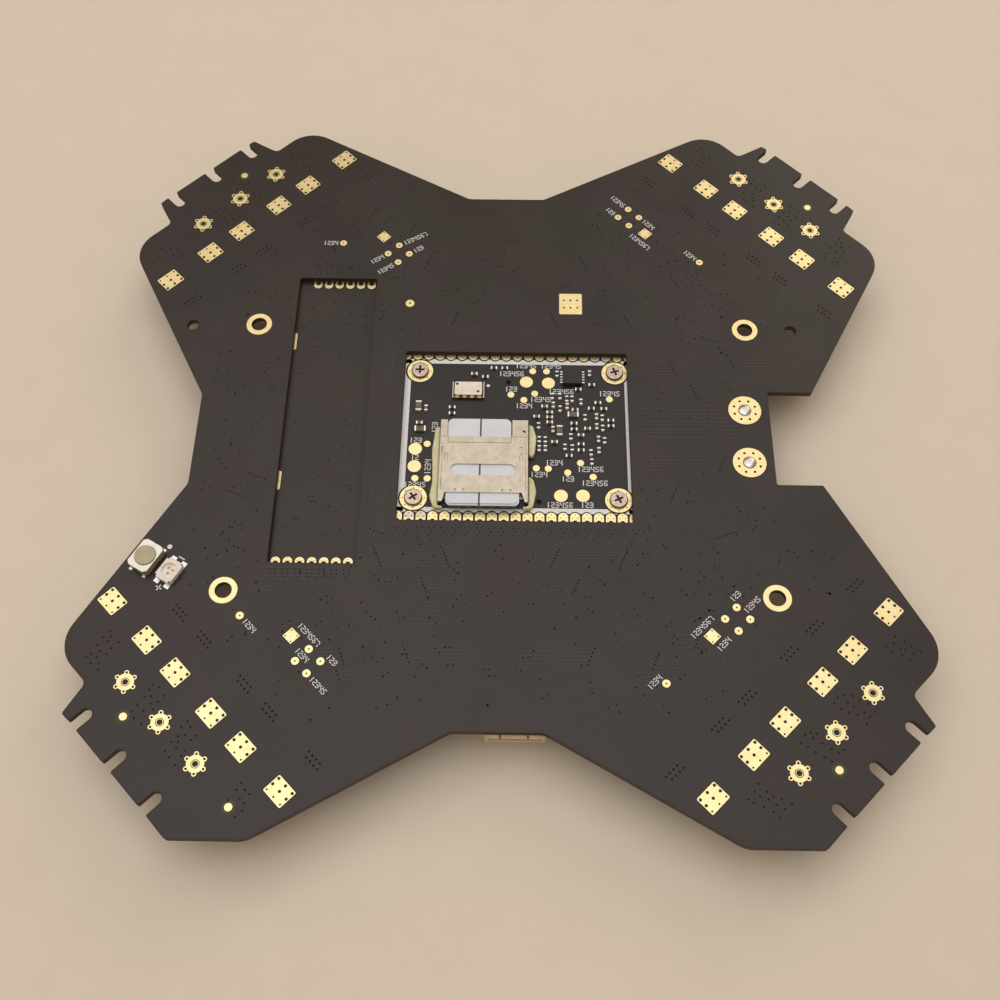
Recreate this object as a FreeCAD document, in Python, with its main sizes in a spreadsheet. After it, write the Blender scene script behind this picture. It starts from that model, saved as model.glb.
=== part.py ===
import FreeCAD, Part
import Sketcher
import math
import os

# Centre board of a four-motor aircraft: four speed-controller arms, a core module, a side
# module, a flip-lid memory card socket, a push switch and a status light.
#
# Frame: origin on the board's top face, where the lines through opposite arms cross.
# +Z up, away from the power parts, +Y towards the rear arms, +X to the right, millimetres.
# Each arm has its own axes: "out" runs along the arm's diagonal and "along" runs across it.

os.makedirs("parts", exist_ok=True)
doc = FreeCAD.newDocument("speed_controller")

DIMENSIONS = {
    # main board
    "board_thickness": 1.0,
    "pad_thickness": 0.05,
    "rear_waist_y": 46.8,
    "front_waist_y": -47.05,
    "waist_half_width": 6.4,
    "left_waist_x": -47.3,
    "notch_inner_x": 41.5,
    "arm_end_out": 74.15,
    "slot_floor_out": 71.05,
    "slot_width": 1.8,
    "slot_pitch": 7.96,
    "slot_shift": -0.2,
    # windows in the main board
    "core_window_width": 35.3,
    "core_window_depth": 30.05,
    "side_window_width": 12.8,
    "side_window_depth": 51.7,
    # holes
    "mount_radius": 1.25,
    "mount_land_radius": 2.05,
    "locating_radius": 0.95,
    # lands on the main board
    "thermal_along": 3.45,
    "thermal_out": 2.9,
    "thermal_row_out": 59.5,
    "via_radius": 0.18,
    "thermal_via_along": 1.4,
    "thermal_via_out": 1.04,
    "thermal_via_radius": 0.23,
    "thermal_fine_radius": 0.15,
    "wire_pad_radius": 1.24,
    "wire_pad_bore": 0.42,
    "wire_pad_out": 65.3,
    "wire_lobe_ring": 1.37,
    "wire_lobe_radius": 0.34,
    "power_pad_radius": 2.55,
    "power_post_radius": 0.5,
    "test_pad_radius": 0.575,
    "test_square": 1.75,
    "fiducial_radius": 0.55,
    "sense_pad_radius": 0.7,
    # core module, soldered under the main board and seen through its window
    "module_pitch": 1.778,
    "module_row_half": 15.24,
    "module_width": 39.6,
    "module_depth": 33.6,
    "module_thickness": 1.0,
    "module_hole_radius": 0.4,
    "tooling_radius": 0.42,
    "screw_half_x": 15.5,
    "screw_half_y": 11.4,
    "corner_land_radius": 2.05,
    "screw_clear_radius": 0.85,
    "screw_shank_radius": 0.78,
    "screw_head_radius": 1.4,
    "screw_head_height": 0.5,
    "screw_reach": 4.0,
    "standoff_radius": 1.6,
    "standoff_length": 4.0,
    # surface chips
    "chip_small_length": 1.0,
    "chip_small_width": 0.5,
    "chip_large_length": 1.7,
    "chip_large_width": 0.9,
    "chip_end": 0.22,
    "capacitor_height": 0.5,
    "resistor_height": 0.35,
    # memory card socket
    "socket_floor": 0.75,
    "hinge_radius": 0.25,
    "hinge_clearance": 0.04,
    "lid_travel": 0.4,
    "hinge_y": 1.3,
    "hinge_z": 0.3,
    "lid_sheet": 0.2,
    "lid_step": 0.1,
    "card_thickness": 0.7,
    "card_length": 15.0,
    "card_width": 11.0,
    # push switch and status light
    "switch_width": 3.5,
    "switch_length": 4.6,
    "switch_height": 1.55,
    "switch_sheet": 0.15,
    "button_radius": 1.5,
    "button_proud": 0.25,
    "light_width": 2.8,
    "light_length": 3.5,
    "light_height": 0.9,
    "light_notch": 0.35,
    "light_well_radius": 1.15,
    "light_well_depth": 0.45,
    # power parts under the main board
    "mosfet_along": 4.9,
    "mosfet_out": 5.2,
    "mosfet_height": 0.8,
    "lead_frame": 0.2,
    "driver_size": 4.0,
    "controller_size": 5.0,
    "package_height": 0.8,
    "can_radius": 4.0,
    "can_height": 7.7,
    "can_base": 0.4,
    "inductor_size": 6.0,
    "inductor_height": 3.0,
    "lead_pitch": 1.27,
    "regulator_x": 29.5,
    # parts under the core module
    "processor_side": 10.0,
    "processor_height": 1.2,
    "crystal_half_x": 1.6,
    "crystal_half_y": 1.25,
    "crystal_height": 0.7,
    "motion_sensor_side": 3.0,
    "motion_sensor_height": 0.9,
    # side-entry connector under the front waist
    "connector_height": 1.8,
    "connector_wall": 0.5,
    "connector_depth": 4.0,
    "connector_mouth_depth": 3.1,
    "connector_proud": 0.45,
    "connector_left_x": -1.75,
    "connector_right_x": 6.65,
    "connector_notch": 0.35,
    "connector_notch_depth": 0.8,
    "connector_notch_left_x": 0.2,
    "connector_notch_right_x": 4.05,
    "connector_first_pin": 1.7,
    "connector_pin": 0.3,
    "connector_pin_length": 2.1,
}

sheet = doc.addObject("Spreadsheet::Sheet", "Sizes")
for row, (alias, number) in enumerate(DIMENSIONS.items(), start=1):
    sheet.set(f"A{row}", alias)
    sheet.set(f"B{row}", str(number))
    sheet.setAlias(f"B{row}", alias)
doc.recompute()


def size(alias):
    """One driving dimension as a number."""
    return float(sheet.get(alias))


def cell(alias):
    """The same dimension as an expression."""
    return f"Sizes.{alias}"


TOP = 0.0
UNDER = -size("board_thickness")
MODULE_TOP = UNDER - size("pad_thickness")
MODULE_UNDER = MODULE_TOP - size("module_thickness")
MODULE_CENTRE = (2.2, 0.55)
CORE_WINDOW = (2.0, 0.0)
SIDE_WINDOW = (-27.6, 3.6)
UPRIGHT = FreeCAD.Vector(0, 0, 1)

# Arms as (sign of x, sign of y), anticlockwise from the rear right one.
ARMS = [(1, 1), (-1, 1), (-1, -1), (1, -1)]
REAR_ARMS = ARMS[:2]
FRONT_ARMS = ARMS[2:]

parts = {}


# ---------------------------------------------------------------- helpers

def arm_point(arm, along, out):
    """Board coordinates of a point given on an arm's own axes."""
    root_two = math.sqrt(2)
    return (arm[0] * (out + along) / root_two, arm[1] * (out - along) / root_two)


def arm_angle(arm):
    """Turn that lays a piece's Y axis along an arm."""
    return math.degrees(math.atan2(arm[1], arm[0])) - 90


def arm_spot(arm, along, out, height):
    """Where a piece sits on an arm: x, y, z and its turn."""
    return (*arm_point(arm, along, out), height, arm_angle(arm))


def place(spot):
    """Placement from (x, y, z) or (x, y, z, turn about Z in degrees)."""
    turn = spot[3] if len(spot) > 3 else 0
    return FreeCAD.Placement(FreeCAD.Vector(*spot[:3]), FreeCAD.Rotation(UPRIGHT, turn))


def new_body(label):
    """Empty body, listed as one of the kept sub-parts."""
    body = doc.addObject("PartDesign::Body", label)
    body.Label = label
    parts[label] = body
    return body


def new_sketch(body, name, role="XY_Plane", height=0.0):
    """Sketch on one of the body's own origin planes, moved out by a height."""
    sketch = body.newObject("Sketcher::SketchObject", name)
    plane = next(f for f in body.Origin.OriginFeatures if f.Role == role)
    sketch.AttachmentSupport = [(plane, "")]
    sketch.MapMode = "FlatFace"
    sketch.AttachmentOffset = FreeCAD.Placement(FreeCAD.Vector(0, 0, height), FreeCAD.Rotation())
    return sketch


def pad(body, sketch, length, downwards=False):
    """Pad by a sheet expression."""
    feature = body.newObject("PartDesign::Pad", "Pad")
    feature.Profile = sketch
    feature.setExpression("Length", length)
    feature.Reversed = downwards
    body.Tip = feature
    doc.recompute()
    return feature


def pocket(body, sketch, length, upwards=False):
    """Pocket by a sheet expression; it must take material away."""
    before = body.Shape.Volume
    feature = body.newObject("PartDesign::Pocket", "Pocket")
    feature.Profile = sketch
    feature.setExpression("Length", length)
    feature.Reversed = upwards
    body.Tip = feature
    doc.recompute()
    if body.Shape.Volume >= before - 1e-9:
        raise RuntimeError(f"{body.Label}: pocket cuts nothing")
    return feature


def circle(sketch, radius, centre=(0, 0)):
    """Circle whose radius follows a sheet expression, at a fixed place."""
    start = sketch.evalExpression(radius)
    start = getattr(start, "Value", start)
    index = sketch.addGeometry(Part.Circle(FreeCAD.Vector(*centre, 0), UPRIGHT, start))
    sketch.setExpression(
        f"Constraints[{sketch.addConstraint(Sketcher.Constraint('Radius', index, start))}]", radius)
    sketch.addConstraint(Sketcher.Constraint("DistanceX", -1, 1, index, 3, centre[0]))
    sketch.addConstraint(Sketcher.Constraint("DistanceY", -1, 1, index, 3, centre[1]))
    return index


def rectangle(sketch, width, depth):
    """Rectangle centred on the origin whose sides follow two sheet expressions."""
    half = []
    for side in (width, depth):
        value = sketch.evalExpression(side)
        half.append(getattr(value, "Value", value) / 2)
    corners = [FreeCAD.Vector(x * half[0], y * half[1], 0) for x, y in ((-1, -1), (1, -1), (1, 1), (-1, 1))]
    first = sketch.addGeometry([Part.LineSegment(corners[i], corners[(i + 1) % 4]) for i in range(4)])[0]
    rule = Sketcher.Constraint
    for i in range(4):
        sketch.addConstraint(rule("Coincident", first + i, 2, first + (i + 1) % 4, 1))
        sketch.addConstraint(rule("Vertical" if i % 2 else "Horizontal", first + i))
    sketch.addConstraint(rule("Symmetric", first, 1, first + 1, 2, -1, 1))
    across = sketch.addConstraint(rule("DistanceX", first, 1, first, 2, 2 * half[0]))
    upward = sketch.addConstraint(rule("DistanceY", first + 1, 1, first + 1, 2, 2 * half[1]))
    sketch.setExpression(f"Constraints[{across}]", width)
    sketch.setExpression(f"Constraints[{upward}]", depth)


def corner_arc(before, corner, after, radius):
    """Tangent points and middle of the arc that rounds one corner."""
    first = (before - corner).normalize()
    second = (after - corner).normalize()
    half_angle = first.getAngle(second) / 2
    reach = radius / math.tan(half_angle)
    bisector = (first + second).normalize()
    middle = corner + bisector * (radius / math.sin(half_angle) - radius)
    return corner + first * reach, middle, corner + second * reach


def outline(sketch, corners):
    """Closed outline from (x, y) or (x, y, corner radius), with joined ends."""
    points = [FreeCAD.Vector(c[0], c[1], 0) for c in corners]
    radii = [c[2] if len(c) > 2 else 0 for c in corners]
    pieces = []
    ends = []
    for i, corner in enumerate(points):
        if radii[i]:
            start, middle, end = corner_arc(points[i - 1], corner, points[(i + 1) % len(points)], radii[i])
            pieces.append(Part.Arc(start, middle, end))
            ends.append((start, end))
        else:
            pieces.append(None)
            ends.append((corner, corner))
    order = []
    for i, piece in enumerate(pieces):
        if piece:
            order.append((piece, ends[i][0], ends[i][1]))
        tail = ends[i][1]
        head = ends[(i + 1) % len(points)][0]
        order.append((Part.LineSegment(tail, head), tail, head))
    first = sketch.addGeometry([item[0] for item in order])[0]

    def end_number(index, point):
        """Which end of a piece of geometry lies at a point: 1 start, 2 end."""
        start = sketch.getPoint(first + index, 1)
        return 1 if start.distanceToPoint(point) < 1e-6 else 2

    for i, (_, _, head) in enumerate(order):
        following = (i + 1) % len(order)
        sketch.addConstraint(Sketcher.Constraint(
            "Coincident", first + i, end_number(i, head), first + following, end_number(following, head)))


def box_corners(low, high, radius=0.0):
    """Corners of an upright rectangle, ready for outline."""
    xs = (low[0], high[0], high[0], low[0])
    ys = (low[1], low[1], high[1], high[1])
    return [(x, y, radius) if radius else (x, y) for x, y in zip(xs, ys)]


def plate(label, width, depth, height, hanging=False, kept=True):
    """Centred rectangular block on z = 0, or hanging from it."""
    body = new_body(label)
    if not kept:
        del parts[label]
    sketch = new_sketch(body, f"{label}_outline")
    rectangle(sketch, width, depth)
    pad(body, sketch, height, downwards=hanging)
    return body


def disc(label, radius, height, bore=None, hanging=False, kept=True):
    """Round plate on z = 0, with an optional bore."""
    body = new_body(label)
    if not kept:
        del parts[label]
    sketch = new_sketch(body, f"{label}_outline")
    circle(sketch, radius)
    if bore:
        circle(sketch, bore)
    pad(body, sketch, height, downwards=hanging)
    return body


def turned(label, profile, kept=True):
    """Solid of revolution about Z from (radius, height) corners."""
    body = new_body(label)
    if not kept:
        del parts[label]
    sketch = new_sketch(body, f"{label}_profile", "XZ_Plane")
    outline(sketch, profile)
    feature = body.newObject("PartDesign::Revolution", "Revolution")
    feature.Profile = sketch
    feature.ReferenceAxis = (sketch, ["V_Axis"])
    feature.Angle = 360
    body.Tip = feature
    doc.recompute()
    return body


def polar(body, features, count):
    """Repeat features evenly about Z."""
    pattern = body.newObject("PartDesign::PolarPattern", "PolarPattern")
    pattern.Originals = features
    axis = next(f for f in body.Origin.OriginFeatures if f.Role == "Z_Axis")
    pattern.Axis = (axis, [""])
    pattern.Angle = 360
    pattern.Occurrences = count
    body.Tip = pattern
    doc.recompute()
    return pattern


def copies(label, spots_by_master):
    """One sub-part made of placed copies of master pieces."""
    links = []
    for master, spots in spots_by_master:
        link = doc.addObject("App::Link", f"{label}_copies")
        link.LinkedObject = master
        link.ShowElement = False
        link.ElementCount = len(spots)
        link.PlacementList = [place(spot) for spot in spots]
        links.append(link)
    group = doc.addObject("Part::Compound", label)
    group.Label = label
    group.Links = links
    parts[label] = group
    return group


def settle(body, spot):
    """Put a sub-part in its place."""
    body.Placement = place(spot)


# ---------------------------------------------------------------- main board

LOBE_RADIUS = 5.2
INNER_CORNER = 1.0
TIP_RADIUS = 0.35
MOUTH_RADIUS = 0.25


def slot_corners(arm, along):
    """The four corners of one open-ended motor wire slot, from low to high along."""
    half = size("slot_width") / 2
    round_end = half - 0.01
    end = size("arm_end_out")
    floor = size("slot_floor_out")
    return [
        (*arm_point(arm, along - half, end), MOUTH_RADIUS),
        (*arm_point(arm, along - half, floor), round_end),
        (*arm_point(arm, along + half, floor), round_end),
        (*arm_point(arm, along + half, end), MOUTH_RADIUS),
    ]


def slot_places():
    """Places of the three motor wire slots and pads along an arm."""
    return [size("slot_shift") + step * size("slot_pitch") for step in (-1, 0, 1)]


def arm_end(arm):
    """Slotted end of an arm, from low to high along."""
    corners = []
    for along in slot_places():
        corners += slot_corners(arm, along)
    return corners


def board_corners():
    """Outline of the main board, anticlockwise from the front waist."""
    front_right, rear_right, rear_left, front_left = ARMS[3], ARMS[0], ARMS[1], ARMS[2]
    waist = size("waist_half_width")
    front = size("front_waist_y")
    rear = size("rear_waist_y")
    notch = size("notch_inner_x")
    left = size("left_waist_x")
    front_flat = -61.85
    corners = [(waist, front, 2.0), (32.7, front_flat, 4.0), (43.1, front_flat, 0.8)]
    corners += arm_end(front_right)
    corners += [(59.66, -45.25, TIP_RADIUS), (57.17, -40.88, INNER_CORNER), (62.85, -35.2, LOBE_RADIUS)]
    corners += [(48.46, -8.4, 0.3), (notch, -8.4, 0.4), (notch, 8.1, 0.2), (48.47, 8.1, 0.3)]
    corners += [(62.95, 35.0, LOBE_RADIUS), (57.16, 40.79, INNER_CORNER), (59.6, 45.1, TIP_RADIUS)]
    corners += arm_end(rear_right)[::-1]
    corners += [(45.1, 59.6, TIP_RADIUS), (40.79, 57.16, INNER_CORNER), (35.56, 62.39, LOBE_RADIUS)]
    corners += [(waist, rear, 2.0), (-waist, rear, 2.0)]
    corners += [(-35.56, 62.39, LOBE_RADIUS), (-40.79, 57.16, INNER_CORNER), (-45.1, 59.6, TIP_RADIUS)]
    corners += arm_end(rear_left)
    corners += [(-59.6, 45.1, TIP_RADIUS), (-57.16, 40.79, INNER_CORNER), (-62.75, 35.2, LOBE_RADIUS)]
    corners += [(left, 6.5, 1.5), (left, -9.4, 1.5)]
    corners += [(-62.45, -35.6, LOBE_RADIUS), (-57.17, -40.88, INNER_CORNER), (-59.66, -45.25, TIP_RADIUS)]
    corners += arm_end(front_left)[::-1]
    corners += [(-43.1, front_flat, 0.8), (-32.7, front_flat, 4.0), (-waist, front, 2.0)]
    return corners


MOUNT_HOLES = [(-39.8, 19.95), (38.9, 19.9), (-39.8, -26.75), (39.85, -26.8)]
LOCATING_HOLES = [(-50.55, 19.7), (46.25, 19.85)]
POWER_PADS = [(37.7, 4.7), (37.7, -4.6)]


def window(centre, width, depth, radius):
    """Corners of a window in the main board."""
    half_x = size(width) / 2
    half_y = size(depth) / 2
    low = (centre[0] - half_x, centre[1] - half_y)
    high = (centre[0] + half_x, centre[1] + half_y)
    return box_corners(low, high, radius)


def make_main_board():
    body = new_body("main_board")
    sketch = new_sketch(body, "board_outline")
    outline(sketch, board_corners())
    outline(sketch, window(CORE_WINDOW, "core_window_width", "core_window_depth", 0.3))
    outline(sketch, window(SIDE_WINDOW, "side_window_width", "side_window_depth", 0.4))
    for centre in MOUNT_HOLES:
        circle(sketch, cell("mount_radius"), centre)
    for centre in LOCATING_HOLES:
        circle(sketch, cell("locating_radius"), centre)
    for centre in POWER_PADS:
        circle(sketch, cell("power_post_radius"), centre)
    for arm in ARMS:
        for along in slot_places():
            circle(sketch, cell("wire_pad_bore"), arm_point(arm, along, size("wire_pad_out")))
    pad(body, sketch, cell("board_thickness"), downwards=True)


def make_mounting_lands():
    """A bare gold ring round each mounting hole, on both faces of the board."""
    ring = disc("mount_land_master", cell("mount_land_radius"), cell("pad_thickness"),
                bore=cell("mount_radius"), kept=False)
    faces = (TOP, UNDER - size("pad_thickness"))
    copies("mounting_hole_lands", [(ring, [(x, y, z) for x, y in MOUNT_HOLES for z in faces])])


def make_thermal_pads():
    """Six gold lands per arm over the transistors, each with nine small holes."""
    body = new_body("thermal_pad_master")
    del parts["thermal_pad_master"]
    sketch = new_sketch(body, "thermal_pad_outline")
    half = (size("thermal_along") / 2, size("thermal_out") / 2)
    outline(sketch, box_corners((-half[0], -half[1]), half, 0.2))
    for column in (-1, 0, 1):
        rows = ((-1, "thermal_via_radius"), (0, "thermal_via_radius"), (1, "thermal_fine_radius"))
        for line, radius in rows:
            circle(sketch, cell(radius), (column * size("thermal_via_along"), line * size("thermal_via_out")))
    pad(body, sketch, cell("pad_thickness"))
    row = [-18.9, -10.6, -4.05, 4.05, 10.7, 18.95]
    spots = [arm_spot(arm, along, size("thermal_row_out"), TOP) for arm in ARMS for along in row]
    copies("thermal_pads", [(body, spots)])


def make_motor_wire_pads():
    """Three star-shaped lands per arm: a disc with six ringed holes round it."""
    body = new_body("wire_pad_master")
    del parts["wire_pad_master"]
    sketch = new_sketch(body, "wire_pad_disc")
    circle(sketch, cell("wire_pad_radius"))
    pad(body, sketch, cell("pad_thickness"))
    lobe_sketch = new_sketch(body, "wire_pad_lobe")
    circle(lobe_sketch, cell("wire_lobe_radius"), (0, size("wire_lobe_ring")))
    lobe = pad(body, lobe_sketch, cell("pad_thickness"))
    polar(body, [lobe], 6)
    hole_sketch = new_sketch(body, "wire_pad_hole", height=size("pad_thickness"))
    circle(hole_sketch, cell("via_radius"), (0, size("wire_lobe_ring")))
    hole = pocket(body, hole_sketch, cell("pad_thickness"))
    polar(body, [hole], 6)
    bore_sketch = new_sketch(body, "wire_pad_bore", height=size("pad_thickness"))
    circle(bore_sketch, cell("wire_pad_bore"))
    pocket(body, bore_sketch, cell("pad_thickness"))
    spots = [(*arm_point(arm, along, size("wire_pad_out")), TOP) for arm in ARMS for along in slot_places()]
    copies("motor_wire_pads", [(body, spots)])


def make_power_input():
    """Two battery lands with a post and a drop of solder each."""
    land = disc("power_pad_master", cell("power_pad_radius"), cell("pad_thickness"),
                bore=cell("power_post_radius"), kept=False)
    spots = [(x, y, TOP) for x, y in POWER_PADS]
    copies("power_pads", [(land, spots)])
    post = size("power_post_radius")
    post_top = TOP + 0.3
    post_profile = [(0, -5.0), (post, -5.0), (post, post_top), (0, post_top)]
    copies("power_posts", [(turned("power_post_master", post_profile, kept=False), spots)])
    foil = size("pad_thickness")
    drop = [(post, foil), (1.05, foil), (0.95, 0.22, 0.06), (0.66, 0.36, 0.1), (post, 0.4)]
    copies("power_post_solder", [(turned("solder_drop_master", drop, kept=False), spots)])


DIAMOND = 1.78
TEST_GROUPS = [(-17.95, 34.7), (20.93, 43.08), (-26.64, -37.28), (33.89, -30.1)]
TEST_SQUARES = [(-20.64, 38.28), (23.59, 39.55), (-29.31, -33.56), (30.14, -32.75)]
SINGLE_TESTS = [(-27.4, 36.85), (32.42, 33.56), (-36.95, -30.62), (23.3, -39.77)]
FIDUCIALS = [(-45.9, 51.55), (51.75, 45.7), (-51.15, -45.6), (-35.25, -57.6), (45.8, -51.45)]


def make_test_pads():
    round_master = disc("round_test_master", cell("test_pad_radius"), cell("pad_thickness"), kept=False)
    spots = [(x, y, TOP) for x, y in SINGLE_TESTS]
    for x, y in TEST_GROUPS:
        spots += [(x + dx * DIAMOND, y + dy * DIAMOND, TOP) for dx, dy in ((1, 0), (0, 1), (-1, 0), (0, -1))]
    copies("round_test_pads", [(round_master, spots)])
    square_master = plate("square_test_master", cell("test_square"), cell("test_square"),
                          cell("pad_thickness"), kept=False)
    copies("square_test_pads", [(square_master, [(x, y, TOP, 45) for x, y in TEST_SQUARES])])
    dot = disc("fiducial_master", cell("fiducial_radius"), cell("pad_thickness"), kept=False)
    copies("fiducial_dots", [(dot, [(x, y, TOP) for x, y in FIDUCIALS])])


def make_sense_pads():
    """One large rectangular land and one round one behind the core window."""
    body = new_body("sense_pads")
    sketch = new_sketch(body, "sense_pad_outline")
    outline(sketch, box_corners((8.95, 22.65), (12.65, 26.75), 0.2))
    circle(sketch, cell("sense_pad_radius"), (-15.52, 24.47))
    pad(body, sketch, cell("pad_thickness"))


# ---------------------------------------------------------------- core module

def module_rows():
    """Places of the module's 21 edge pads in each of its two rows."""
    steps = range(-10, 11)
    near = MODULE_CENTRE[1] - size("module_row_half")
    far = MODULE_CENTRE[1] + size("module_row_half")
    xs = [MODULE_CENTRE[0] + step * size("module_pitch") for step in steps]
    return [(x, near, 0) for x in xs] + [(x, far, 180) for x in xs]


SCREW_PLACES = [
    (MODULE_CENTRE[0] + sx * size("screw_half_x"), MODULE_CENTRE[1] + sy * size("screw_half_y"))
    for sx, sy in ARMS
]


TOOLING_HOLES = [(0.8, 10.05), (5.67, -11.25)]


def edge_pad(label, half_width, inner_reach, outer_reach):
    """Gold land with a round inner end and a hole; its inner end points to +Y."""
    body = new_body(label)
    del parts[label]
    sketch = new_sketch(body, f"{label}_outline")
    rounding = half_width - 0.01
    outline(sketch, [
        (-half_width, -outer_reach), (half_width, -outer_reach),
        (half_width, inner_reach, rounding), (-half_width, inner_reach, rounding),
    ])
    circle(sketch, cell("module_hole_radius"))
    pad(body, sketch, cell("pad_thickness"))
    return body


def make_core_module():
    board = new_body("core_module_board")
    sketch = new_sketch(board, "core_module_outline", height=MODULE_TOP)
    half = (size("module_width") / 2, size("module_depth") / 2)
    cx, cy = MODULE_CENTRE
    outline(sketch, box_corners((cx - half[0], cy - half[1]), (cx + half[0], cy + half[1]), 0.5))
    for x, y, _ in module_rows():
        circle(sketch, cell("module_hole_radius"), (x, y))
    for centre in SCREW_PLACES:
        circle(sketch, cell("screw_clear_radius"), centre)
    for centre in TOOLING_HOLES:
        circle(sketch, cell("tooling_radius"), centre)
    pad(board, sketch, cell("module_thickness"), downwards=True)
    land = edge_pad("core_edge_pad_master", 0.74, 1.62, 0.95)
    spots = [(x, y, MODULE_TOP, turn) for x, y, turn in module_rows()]
    copies("core_module_edge_pads", [(land, spots)])
    corner = disc("corner_pad_master", cell("corner_land_radius"), cell("pad_thickness"),
                  bore=cell("screw_clear_radius"), kept=False)
    copies("core_module_corner_pads", [(corner, [(x, y, MODULE_TOP) for x, y in SCREW_PLACES])])
    large = disc("large_test_master", "1.03", cell("pad_thickness"), kept=False)
    small = disc("small_test_master", "0.54", cell("pad_thickness"), kept=False)
    large_places = [(3.67, 10.1), (7.16, 9.95), (-13.4, -2.35), (-13.4, -5.4), (9.0, -10.2), (12.33, -10.15)]
    small_places = [
        (4.67, 12.15), (6.87, 12.15), (1.24, 7.7), (5.0, 7.95), (3.29, 6.75), (16.77, 7.05), (-11.6, -1.45),
        (-13.2, -7.5), (-11.33, -7.5), (5.27, -5.5), (7.1, -5.55), (10.07, -6.2), (12.04, -4.5),
        (13.93, -6.9),
    ]
    copies("core_module_test_pads", [
        (large, [(x, y, MODULE_TOP) for x, y in large_places]),
        (small, [(x, y, MODULE_TOP) for x, y in small_places]),
    ])


def make_module_screws():
    """Pan head screws with a cross recess, and the threaded standoffs below."""
    head_radius = size("screw_head_radius")
    shank = size("screw_shank_radius")
    height = size("screw_head_height")
    profile = [
        (0, -size("screw_reach")), (shank, -size("screw_reach")), (shank, 0), (head_radius, 0),
        (head_radius, height, 0.25), (0, height),
    ]
    screw = turned("screw_master", profile, kept=False)
    cross = new_sketch(screw, "cross_recess", height=height)
    arm_length = 0.72
    arm_width = 0.17
    outline(cross, [
        (-arm_length, -arm_width), (-arm_width, -arm_width), (-arm_width, -arm_length),
        (arm_width, -arm_length), (arm_width, -arm_width), (arm_length, -arm_width),
        (arm_length, arm_width), (arm_width, arm_width), (arm_width, arm_length),
        (-arm_width, arm_length), (-arm_width, arm_width), (-arm_length, arm_width),
    ])
    pocket(screw, cross, f"{cell('screw_head_height')} * 0.7")
    seat = MODULE_TOP + size("pad_thickness")
    turns = [20, 0, 35, 25]
    copies("module_screws", [(screw, [(x, y, seat, turn) for (x, y), turn in zip(SCREW_PLACES, turns)])])
    bore = f"{cell('screw_shank_radius')} + 0.02"
    post = disc("standoff_master", cell("standoff_radius"), cell("standoff_length"), bore=bore,
                hanging=True, kept=False)
    copies("module_standoffs", [(post, [(x, y, MODULE_UNDER) for x, y in SCREW_PLACES])])


def make_pressure_sensor():
    centre = (-5.48, 8.25)
    base = plate("pressure_sensor_base", "5", "3", "0.5")
    settle(base, (*centre, MODULE_TOP))
    lid = new_body("pressure_sensor_lid")
    sketch = new_sketch(lid, "sensor_lid_outline")
    outline(sketch, box_corners((-2.15, -1.2), (2.15, 1.2), 0.3))
    circle(sketch, "0.22", (-1.75, 0.8))
    circle(sketch, "0.22", (1.55, -0.55))
    pad(lid, sketch, "0.45")
    settle(lid, (*centre, MODULE_TOP + 0.5))


def make_transceiver():
    centre = (10.95, 10.95)
    seat = MODULE_TOP + 0.1
    body = plate("transceiver_body", "3", "3", "0.85")
    settle(body, (*centre, seat))
    lead = plate("transceiver_lead_master", "0.42", "0.22", "0.35", kept=False)
    rows = [(centre[0] + side * 1.72, centre[1] + step * 0.5, MODULE_TOP)
            for side in (-1, 1) for step in range(-2, 3)]
    copies("transceiver_leads", [(lead, rows)])


# Chips on the core module: (x, y, lies along Y). Kinds are listed one after another.
SMALL_CAPACITORS = [
    (-4.63, 11.33, 0), (12.24, 6.33, 1), (7.9, 5.7, 1), (6.53, 5.4, 0), (10.07, 5.5, 1), (7.33, 4.33, 0),
    (7.33, 3.43, 0), (7.33, 2.53, 0), (5.3, 3.53, 0), (14.64, 3.67, 1), (7.83, 1.27, 1), (13.2, 1.47, 0),
    (14.64, 1.87, 1), (12.17, 0.27, 0), (8.07, -1.0, 0), (5.7, -2.16, 1), (6.64, -2.16, 1), (14.87, -0.4, 1),
    (14.89, -2.4, 1), (13.7, 11.67, 1), (-12.97, 2.15, 0), (-12.04, 4.87, 1),
]
LARGE_CAPACITORS = [(-13.23, 5.27, 1), (-12.8, 1.1, 0), (11.0, 4.0, 0), (8.87, 1.07, 1)]
SMALL_RESISTORS = [
    (-7.95, 5.13, 0), (-7.95, 4.04, 0), (-2.87, 10.9, 0), (-1.53, 12.6, 0), (0.2, 12.6, 0), (8.53, 11.6, 1),
    (14.03, 9.6, 0), (11.87, 8.73, 0), (7.73, 7.4, 1), (8.97, 7.4, 1), (10.04, 6.95, 1), (10.87, 6.95, 1),
    (14.93, 6.27, 0), (8.97, 5.1, 1), (13.87, 5.2, 0), (15.83, 5.17, 0), (11.33, 4.95, 0), (12.87, 3.57, 1),
    (15.55, 3.53, 1), (16.87, 3.07, 0), (5.6, 2.0, 1), (11.13, 2.44, 0), (11.13, 1.4, 0), (15.57, 1.67, 1),
    (16.87, 2.07, 0), (10.6, 0.07, 1), (5.7, -0.5, 1), (6.64, -0.53, 1), (9.67, -1.8, 1), (10.8, -1.9, 1),
    (12.17, -1.27, 0), (12.17, -2.33, 0), (10.3, -3.33, 0), (13.67, -2.73, 1), (15.8, -0.55, 1),
    (13.76, -4.33, 1),
]


def chip_master(label, length, width, height):
    """Middle of a chip, between its two end caps."""
    return plate(label, f"{length} - 2 * {cell('chip_end')}", width, height, kept=False)


def chip_spots(chips):
    """Placements of chips on the module."""
    return [(x, y, MODULE_TOP, 90 * upright) for x, y, upright in chips]


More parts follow.
